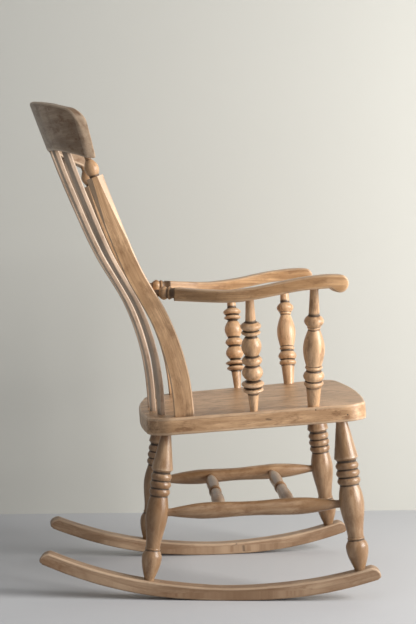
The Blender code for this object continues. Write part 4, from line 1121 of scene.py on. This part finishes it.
def new_group(name, inputs, outputs):
    """Empty shader group with named sockets."""
    group = bpy.data.node_groups.new(name, "ShaderNodeTree")
    for label, default in inputs:
        socket = group.interface.new_socket(label, in_out="INPUT", socket_type="NodeSocketFloat")
        socket.default_value = default
    for label in outputs:
        group.interface.new_socket(label, in_out="OUTPUT", socket_type="NodeSocketFloat")
    return group


def put(tree, kind, links=(), **values):
    """Adds a node, sets its properties and feeds its inputs: (input, socket or value) pairs."""
    node = tree.nodes.new(kind)
    for label, value in values.items():
        setattr(node, label, value)
    for key, source in links:
        if isinstance(source, bpy.types.NodeSocket):
            tree.links.new(source, node.inputs[key])
        else:
            node.inputs[key].default_value = source
    return node


def sums(tree, operation, first, second, third=None):
    """Math node's result."""
    links = [(0, first), (1, second)] + ([(2, third)] if third is not None else [])
    return put(tree, "ShaderNodeMath", links, operation=operation).outputs[0]


def ramp(tree, value, low, high, start=0.0, end=1.0):
    """Smoothly maps a value between two limits."""
    node = put(tree, "ShaderNodeMapRange", [("Value", value), ("From Min", low), ("From Max", high),
                                            ("To Min", start), ("To Max", end)], interpolation_type="SMOOTHSTEP")
    return node.outputs[0]


def blend(tree, factor, first, second, mode="MIX"):
    """Colour mix's result."""
    node = put(tree, "ShaderNodeMix", data_type="RGBA", blend_type=mode)
    for socket, value in ((node.inputs[0], factor), (node.inputs[6], first), (node.inputs[7], second)):
        if isinstance(value, bpy.types.NodeSocket):
            tree.links.new(value, socket)
        elif socket.type == "RGBA":
            socket.default_value = (*value[:3], 1)
        else:
            socket.default_value = value
    return node.outputs[2]


def stretched_noise(tree, place, scale, detail=3.0, roughness=0.55, distortion=0.0):
    """Noise stretched along the grain: scale is (across, along)."""
    moved = put(tree, "ShaderNodeVectorMath", [(0, place), (1, (scale[0], scale[0], scale[1]))],
                operation="MULTIPLY").outputs[0]
    return put(tree, "ShaderNodeTexNoise", [("Vector", moved), ("Scale", 1.0), ("Detail", detail),
                                            ("Roughness", roughness), ("Distortion", distortion)]).outputs[0]


def grain_place(tree):
    """The piece's own coordinates, with Z along the grain."""
    return put(tree, "ShaderNodeAttribute", attribute_name="grain").outputs["Vector"]


def wood_grain_group():
    """Growth rings, streaks, fibres and patches of a piece of wood."""
    if "wood_grain" in bpy.data.node_groups:
        return bpy.data.node_groups["wood_grain"]
    group = new_group("wood_grain", [("Ring Width", 0.006), ("Pith Offset", 0.05)],
                      ["Rings", "Streaks", "Fibres", "Patches", "Pores"])
    entry = group.nodes.new("NodeGroupInput")
    exit_node = group.nodes.new("NodeGroupOutput")
    place = grain_place(group)
    parts = put(group, "ShaderNodeSeparateXYZ", [(0, place)])
    wander = stretched_noise(group, place, (9.0, 2.2), 2.0)
    side = sums(group, "ADD", parts.outputs[0], sums(group, "MULTIPLY", wander, 0.05))
    deep = sums(group, "ADD", parts.outputs[1], entry.outputs["Pith Offset"])
    reach = sums(group, "SQRT", sums(group, "ADD", sums(group, "POWER", side, 2.0),
                                     sums(group, "POWER", deep, 2.0)), 0.0)
    reach = sums(group, "ADD", reach, sums(group, "MULTIPLY", parts.outputs[2], 0.035))
    cycle = sums(group, "FRACT", sums(group, "DIVIDE", reach, entry.outputs["Ring Width"]), 0.0)
    rings = ramp(group, sums(group, "PINGPONG", cycle, 0.55), 0.02, 0.55)
    streaks = ramp(group, stretched_noise(group, place, (130.0, 5.5), 5.0, 0.7), 0.36, 0.64)
    fibres = stretched_noise(group, place, (900.0, 30.0), 3.0, 0.6)
    patches = ramp(group, stretched_noise(group, place, (16.0, 7.0), 5.0, 0.68, 0.8), 0.36, 0.64)
    pores = ramp(group, stretched_noise(group, place, (620.0, 55.0), 1.0, 0.4), 0.66, 0.74)
    for label, socket in (("Rings", rings), ("Streaks", streaks), ("Fibres", fibres),
                          ("Patches", patches), ("Pores", pores)):
        group.links.new(socket, exit_node.inputs[label])
    return group


def edge_wear_group():
    """Mask of edges and rims worn pale, and mask of dirt with painted shade in grooves, joints and recesses, both
    broken up along the grain.
    """
    if "edge_wear" in bpy.data.node_groups:
        return bpy.data.node_groups["edge_wear"]
    group = new_group("edge_wear", [("Amount", 0.7)], ["Worn", "Grimy"])
    entry = group.nodes.new("NodeGroupInput")
    exit_node = group.nodes.new("NodeGroupOutput")
    place = grain_place(group)
    break_up = stretched_noise(group, place, (60.0, 14.0), 4.0, 0.65)
    for label, source, low, high in (("Worn", "wear", 0.42, 1.0), ("Grimy", "grime", 0.25, 0.8)):
        amount = put(group, "ShaderNodeAttribute", attribute_name=source).outputs["Fac"]
        mixed = sums(group, "ADD", amount, sums(group, "MULTIPLY_ADD", break_up, 0.9, -0.45))
        mask = sums(group, "MULTIPLY", ramp(group, mixed, low, high), sums(group, "GREATER_THAN", amount, 0.01))
        if label == "Worn":
            mask = sums(group, "MULTIPLY", mask, entry.outputs["Amount"])
        group.links.new(mask, exit_node.inputs[label])
    return group


def old_marks_group():
    """Worm holes, fine cracks and dark stains of old wood."""
    if "old_marks" in bpy.data.node_groups:
        return bpy.data.node_groups["old_marks"]
    group = new_group("old_marks", [("Holes", 0.25), ("Cracks", 0.5)], ["Holes", "Cracks", "Stains"])
    entry = group.nodes.new("NodeGroupInput")
    exit_node = group.nodes.new("NodeGroupOutput")
    place = grain_place(group)
    moved = put(group, "ShaderNodeVectorMath", [(0, place), (1, (48, 48, 40))], operation="MULTIPLY").outputs[0]
    cells = put(group, "ShaderNodeTexVoronoi", [("Vector", moved), ("Scale", 1.0)])
    tone = put(group, "ShaderNodeSeparateXYZ", [(0, cells.outputs["Color"])])
    chosen = sums(group, "LESS_THAN", tone.outputs[0], entry.outputs["Holes"])
    size = sums(group, "MULTIPLY_ADD", tone.outputs[1], 0.05, 0.035)
    near = sums(group, "LESS_THAN", cells.outputs["Distance"], size)
    holes = sums(group, "MULTIPLY", chosen, near)
    line = stretched_noise(group, place, (42.0, 1.6), 2.0, 0.5)
    thin = ramp(group, sums(group, "ABSOLUTE", sums(group, "SUBTRACT", line, 0.5), 0.0), 0.0, 0.0045, 1.0, 0.0)
    where = ramp(group, stretched_noise(group, place, (14.0, 5.0), 1.0), 0.52, 0.60)
    cracks = sums(group, "MULTIPLY", sums(group, "MULTIPLY", thin, where), entry.outputs["Cracks"])
    stains = ramp(group, stretched_noise(group, place, (46.0, 20.0), 5.0, 0.72), 0.50, 0.68)
    for label, socket in (("Holes", holes), ("Cracks", cracks), ("Stains", stains)):
        group.links.new(socket, exit_node.inputs[label])
    return group


def shaded(tone, factor):
    """A colour made darker or lighter."""
    return tuple(min(value * factor, 1.0) for value in tone)


def mixed(first, second, part):
    """A colour part of the way from one to another."""
    return tuple(one * (1 - part) + other * part for one, other in zip(first, second))


def wood_material(name, tint, ring_width=0.006, pith=0.05, wear=1.0, rough=0.0, holes=0.05, cracks=0.2,
                  streaks=0.6, stain=0.35, rings=0.3, grime=0.7):
    """Waxed old wood, built from the shared groups."""
    if name in bpy.data.materials:
        return bpy.data.materials[name]
    look = settings().wood
    material = bpy.data.materials.new(name)
    material.use_nodes = True
    tree = material.node_tree
    surface = tree.nodes["Principled BSDF"]
    grain = put(tree, "ShaderNodeGroup", node_tree=wood_grain_group())
    grain.inputs["Ring Width"].default_value = ring_width
    grain.inputs["Pith Offset"].default_value = pith
    edges = put(tree, "ShaderNodeGroup", node_tree=edge_wear_group())
    edges.inputs["Amount"].default_value = look.wear * wear
    marks = put(tree, "ShaderNodeGroup", node_tree=old_marks_group())
    marks.inputs["Holes"].default_value = holes
    marks.inputs["Cracks"].default_value = cracks
    base = tuple(tint)
    brown = tuple(look.brown)
    dark = mixed(base, brown, 0.62)
    tone = blend(tree, grain.outputs["Patches"], mixed(shaded(base, 0.86), brown, 0.22),
                 mixed(shaded(base, 1.22), tuple(look.pale), 0.22))
    tone = blend(tree, sums(tree, "MULTIPLY", grain.outputs["Rings"], rings), tone, dark)
    tone = blend(tree, sums(tree, "MULTIPLY", grain.outputs["Streaks"], streaks), tone, dark)
    tone = blend(tree, sums(tree, "MULTIPLY", marks.outputs["Stains"], stain), tone, brown)
    tone = blend(tree, sums(tree, "MULTIPLY", grain.outputs["Pores"], 0.45), tone, brown)
    tone = blend(tree, edges.outputs["Worn"], tone, tuple(look.pale))
    # Darkens grooves, joints and recesses: old wax and dirt, with painted shade
    tone = blend(tree, sums(tree, "MULTIPLY", edges.outputs["Grimy"], grime), tone, tuple(look.grime))
    tone = blend(tree, marks.outputs["Cracks"], tone, tuple(look.grime))
    tone = blend(tree, marks.outputs["Holes"], tone, tuple(look.grime))
    tree.links.new(tone, surface.inputs["Base Color"])
    gloss = sums(tree, "MULTIPLY_ADD", grain.outputs["Fibres"], 0.22, look.rough + rough - 0.11)
    gloss = sums(tree, "MULTIPLY_ADD", edges.outputs["Grimy"], 0.2, gloss)
    tree.links.new(gloss, surface.inputs["Roughness"])
    height = sums(tree, "MULTIPLY_ADD", grain.outputs["Streaks"], -0.35, grain.outputs["Fibres"])
    height = sums(tree, "MULTIPLY_ADD", marks.outputs["Holes"], -3.0, height)
    height = sums(tree, "MULTIPLY_ADD", marks.outputs["Cracks"], -2.0, height)
    bump = put(tree, "ShaderNodeBump", [("Height", height), ("Strength", 0.5), ("Distance", 0.0006)])
    tree.links.new(bump.outputs[0], surface.inputs["Normal"])
    surface.inputs["Coat Weight"].default_value = 0.15
    surface.inputs["Coat Roughness"].default_value = 0.3
    surface.inputs["Specular IOR Level"].default_value = 0.45
    return material


def tinted(factor, amount):
    """The honey colour moved towards grey and scaled."""
    look = settings().wood
    return shaded(mixed(look.honey, look.grey, amount), factor)


def seat_wood():
    """Plank with long streaks, holes and cracks."""
    return wood_material("old_seat_plank", tinted(1.12, 0.22), 0.012, 0.03, 0.38, 0.02, 0.55, 1.0, 0.7, 0.75)


def rocker_wood():
    """Dull rockers, pale along their corners."""
    return wood_material("dull_rocker_wood", tinted(0.57, 0.4), 0.010, 0.06, 0.4, 0.12, 0.1, 0.6, 0.6, 0.5)


def sawn_wood():
    """Waxed uprights."""
    return wood_material("waxed_upright_wood", tinted(1.28, 0.22), 0.010, 0.04, 0.5, 0.0, 0.04, 0.3, 0.75, 0.5)


def crest_wood():
    """Crest board, darkened all over as painted shade of its back face; its ends, painted pale as painted light,
    come out mottled.
    """
    # The dark tint is painted shade of the board's back face
    return wood_material("waxed_crest_wood", tinted(0.55, 0.5), 0.014, 0.05, 0.55, 0.0, 0.08, 0.4, 0.6, 1.0, 0.15)


def lath_wood():
    """Greyed laths."""
    return wood_material("grey_lath_wood", tinted(1.3, 0.95), 0.008, 0.05, 0.6, 0.06, 0.02, 0.3, 0.6, 0.45)


def arm_wood():
    """Handled arms, with warm streaks."""
    return wood_material("handled_arm_wood", tinted(1.14, 0.08), 0.011, 0.045, 0.3, -0.03, 0.04, 0.3, 0.8, 0.55)


def leg_wood():
    """Dark, polished legs and stretchers."""
    return wood_material("dark_turned_wood", tinted(0.57, 0.18), 0.012, 0.03, 0.35, -0.10, 0.02, 0.15, 0.55, 0.7,
                         0.22, 0.9)


def spindle_wood():
    """Paler turnings under the arms."""
    return wood_material("pale_turned_wood", tinted(1.22, 0.25), 0.012, 0.03, 0.3, -0.08, 0.02, 0.15, 0.5, 0.6,
                         0.2, 0.9)


# ---- Studio ------------------------------------------------------------------------------------

def stage_material(name, tone, mottle):
    """Matt surface with faint clouds, seen only from its front."""
    material = bpy.data.materials.new(name)
    material.use_nodes = True
    tree = material.node_tree
    surface = tree.nodes["Principled BSDF"]
    clouds = put(tree, "ShaderNodeTexNoise", [("Scale", 2.2), ("Detail", 6.0)])
    shade = blend(tree, ramp(tree, clouds.outputs[0], 0.3, 0.7), tuple(value * (1 - mottle) for value in tone), tone)
    tree.links.new(shade, surface.inputs["Base Color"])
    surface.inputs["Roughness"].default_value = 0.75
    surface.inputs["Specular IOR Level"].default_value = 0.2
    facing = put(tree, "ShaderNodeNewGeometry")
    clear = put(tree, "ShaderNodeBsdfTransparent")
    mixed = put(tree, "ShaderNodeMixShader", [(0, facing.outputs["Backfacing"]), (1, surface.outputs[0]),
                                              (2, clear.outputs[0])])
    tree.links.new(mixed.outputs[0], tree.nodes["Material Output"].inputs[0])
    return material


def stage_plane(name, corners, material):
    """Flat stage piece."""
    data = bpy.data.meshes.new(name)
    data.from_pydata([Vector(corner) for corner in corners], [], [(0, 1, 2, 3)])
    data.materials.append(material)
    piece = bpy.data.objects.new(name, data)
    bpy.context.scene.collection.objects.link(piece)


def area_light(name, place, target, size, power, tone):
    """Soft rectangular light."""
    lamp = bpy.data.lights.new(name, "AREA")
    lamp.shape = "RECTANGLE"
    lamp.size, lamp.size_y = size
    lamp.energy = power
    lamp.color = tone
    holder = bpy.data.objects.new(name, lamp)
    holder.location = place
    holder.rotation_euler = (Vector(target) - Vector(place)).to_track_quat("-Z", "Y").to_euler()
    bpy.context.scene.collection.objects.link(holder)


def build_studio():
    """Floor, backdrop, soft light and camera."""
    studio = settings().studio
    shift = frame_shift()
    x = studio.wall_x
    stage_plane("studio_floor", [(-8, -8, 0), (8, -8, 0), (8, 8, 0), (-8, 8, 0)],
                stage_material("studio_floor_paint", tuple(studio.floor), 0.12))
    stage_plane("studio_backdrop", [(x, -8, -0.01), (x, 8, -0.01), (x, 8, 6), (x, -8, 6)][::-1],
                stage_material("studio_wall_paint", tuple(studio.wall), 0.03))
    area_light("window_light", (-1.3, -2.7, 1.35), (0, 0, 0.5), (1.5, 1.8), studio.window, (1.0, 0.98, 0.95))
    area_light("sky_light", (-1.6, 0.6, 2.9), (0, 0, 0.4), (2.2, 2.2), studio.window * 0.06, (0.95, 0.98, 1.0))
    bpy.context.scene.view_settings.view_transform = "Standard"
    world = bpy.data.worlds.new("studio_air")
    bpy.context.scene.world = world
    world.use_nodes = True
    world.node_tree.nodes["Background"].inputs[0].default_value = (0.93, 0.95, 1.0, 1)
    world.node_tree.nodes["Background"].inputs[1].default_value = studio.fill
    lens = bpy.data.cameras.new("portrait_lens")
    lens.sensor_fit = "VERTICAL"
    lens.sensor_height = 36
    lens.lens = 84.98
    camera = bpy.data.objects.new("portrait_camera", lens)
    yaw = -0.051951
    pitch = -0.050250
    camera.location = Vector((-3.380, 0.1626, 0.7806)) + shift
    heading = Vector((math.cos(yaw) * math.cos(pitch), math.sin(yaw) * math.cos(pitch), math.sin(pitch)))
    camera.rotation_euler = heading.to_track_quat("-Z", "Y").to_euler()
    bpy.context.scene.collection.objects.link(camera)
    bpy.context.scene.camera = camera


# ---- Operators ---------------------------------------------------------------------------------

class CHAIR_OT_seat(bpy.types.Operator):
    """Build the seat plank"""

    bl_idname = "chair.seat"
    bl_label = "Seat"

    def execute(self, context):
        build_seat()
        return {"FINISHED"}


class CHAIR_OT_rockers(bpy.types.Operator):
    """Build both rockers"""

    bl_idname = "chair.rockers"
    bl_label = "Rockers"

    def execute(self, context):
        for seed, (name, side) in enumerate(SIDES.items()):
            build_rocker("rocker_" + name, side, 5 + seed)
        return {"FINISHED"}


class CHAIR_OT_legs(bpy.types.Operator):
    """Turn the four legs"""

    bl_idname = "chair.legs"
    bl_label = "Legs"

    def execute(self, context):
        for seed, (name, side) in enumerate(SIDES.items()):
            for place in ("rear", "front"):
                leg = Leg(side, place)
                node = f"leg_{place}_{name}"
                skin = turned_skin(31 + seed * 2 + (place == "front"), leg.whole, leg.start, leg.end)
                skin.build(node + "_turned", [node], "turned_wood", leg_wood(), 0.0003)
        return {"FINISHED"}


class CHAIR_OT_stretchers(bpy.types.Operator):
    """Turn the side and cross stretchers"""

    bl_idname = "chair.stretchers"
    bl_label = "Stretchers"

    def execute(self, context):
        legs = settings().legs
        bars = {f"side_stretcher_{name}": side_stretcher(side) for name, side in SIDES.items()}
        bars["cross_stretcher_rear"] = cross_stretcher(legs.cross_rear)
        bars["cross_stretcher_front"] = cross_stretcher(legs.cross_front)
        for seed, (node, bar) in enumerate(bars.items()):
            skin = turned_skin(41 + seed, bar.whole, bar.start, bar.end)
            skin.build(node + "_turned", [node], "turned_wood", leg_wood(), 0.0003)
        return {"FINISHED"}


class CHAIR_OT_uprights(bpy.types.Operator):
    """Build both back uprights"""

    bl_idname = "chair.uprights"
    bl_label = "Uprights"

    def execute(self, context):
        for seed, (name, side) in enumerate(SIDES.items()):
            build_upright("upright_" + name, side, 51 + seed)
        return {"FINISHED"}


class CHAIR_OT_crest(bpy.types.Operator):
    """Build the crest rail"""

    bl_idname = "chair.crest"
    bl_label = "Crest rail"

    def execute(self, context):
        build_crest()
        return {"FINISHED"}


class CHAIR_OT_laths(bpy.types.Operator):
    """Build the laths"""

    bl_idname = "chair.laths"
    bl_label = "Laths"

    def execute(self, context):
        crest = Crest()
        for index in range(settings().back.laths):
            build_lath(index, crest)
        return {"FINISHED"}


class CHAIR_OT_arms(bpy.types.Operator):
    """Build both arms"""

    bl_idname = "chair.arms"
    bl_label = "Arms"

    def execute(self, context):
        for seed, (name, side) in enumerate(SIDES.items()):
            build_arm("arm_" + name, side, 61 + seed)
        return {"FINISHED"}


class CHAIR_OT_spindles(bpy.types.Operator):
    """Turn the four arm spindles"""

    bl_idname = "chair.spindles"
    bl_label = "Arm spindles"

    def execute(self, context):
        for seed, (name, side) in enumerate(SIDES.items()):
            for place in ("rear", "front"):
                build_spindle(f"spindle_{place}_{name}", side, place, 71 + seed * 2 + (place == "front"))
        return {"FINISHED"}


class CHAIR_OT_studio(bpy.types.Operator):
    """Set up the floor, backdrop, light and camera"""

    bl_idname = "chair.studio"
    bl_label = "Studio"

    def execute(self, context):
        build_studio()
        return {"FINISHED"}


OPERATORS = (CHAIR_OT_seat, CHAIR_OT_rockers, CHAIR_OT_legs, CHAIR_OT_stretchers, CHAIR_OT_uprights,
             CHAIR_OT_crest, CHAIR_OT_laths, CHAIR_OT_arms, CHAIR_OT_spindles, CHAIR_OT_studio)


class CHAIR_PT_panel(bpy.types.Panel):
    """Lists the chair's settings and steps"""

    bl_idname = "CHAIR_PT_panel"
    bl_label = "Rocking Armchair"
    bl_space_type = "VIEW_3D"
    bl_region_type = "UI"
    bl_category = "Chair"

    def draw(self, context):
        for operator in OPERATORS:
            self.layout.operator(operator.bl_idname)
        for label in ("seat", "rockers", "legs", "back", "arms", "wood", "studio"):
            group = getattr(context.scene.rocking_chair, label)
            box = self.layout.box()
            box.label(text=label.capitalize())
            for name in group.__annotations__:
                box.prop(group, name)


CLASSES = (SeatSizes, RockerSizes, LegSizes, BackSizes, ArmSizes, WoodLook, StudioLook,
           ChairSettings) + OPERATORS + (CHAIR_PT_panel,)


def register():
    """Registers the add-on's classes."""
    for one in CLASSES:
        bpy.utils.register_class(one)
    bpy.types.Scene.rocking_chair = PointerProperty(type=ChairSettings)


def unregister():
    """Removes the add-on's classes."""
    del bpy.types.Scene.rocking_chair
    for one in reversed(CLASSES):
        bpy.utils.unregister_class(one)


def main():
    """Registers the add-on and builds everything in order."""
    register()
    steps = bpy.ops.chair
    for step in (steps.seat, steps.rockers, steps.legs, steps.stretchers, steps.uprights, steps.crest,
                 steps.laths, steps.arms, steps.spindles, steps.studio):
        step()


if __name__ == "__main__":
    main()
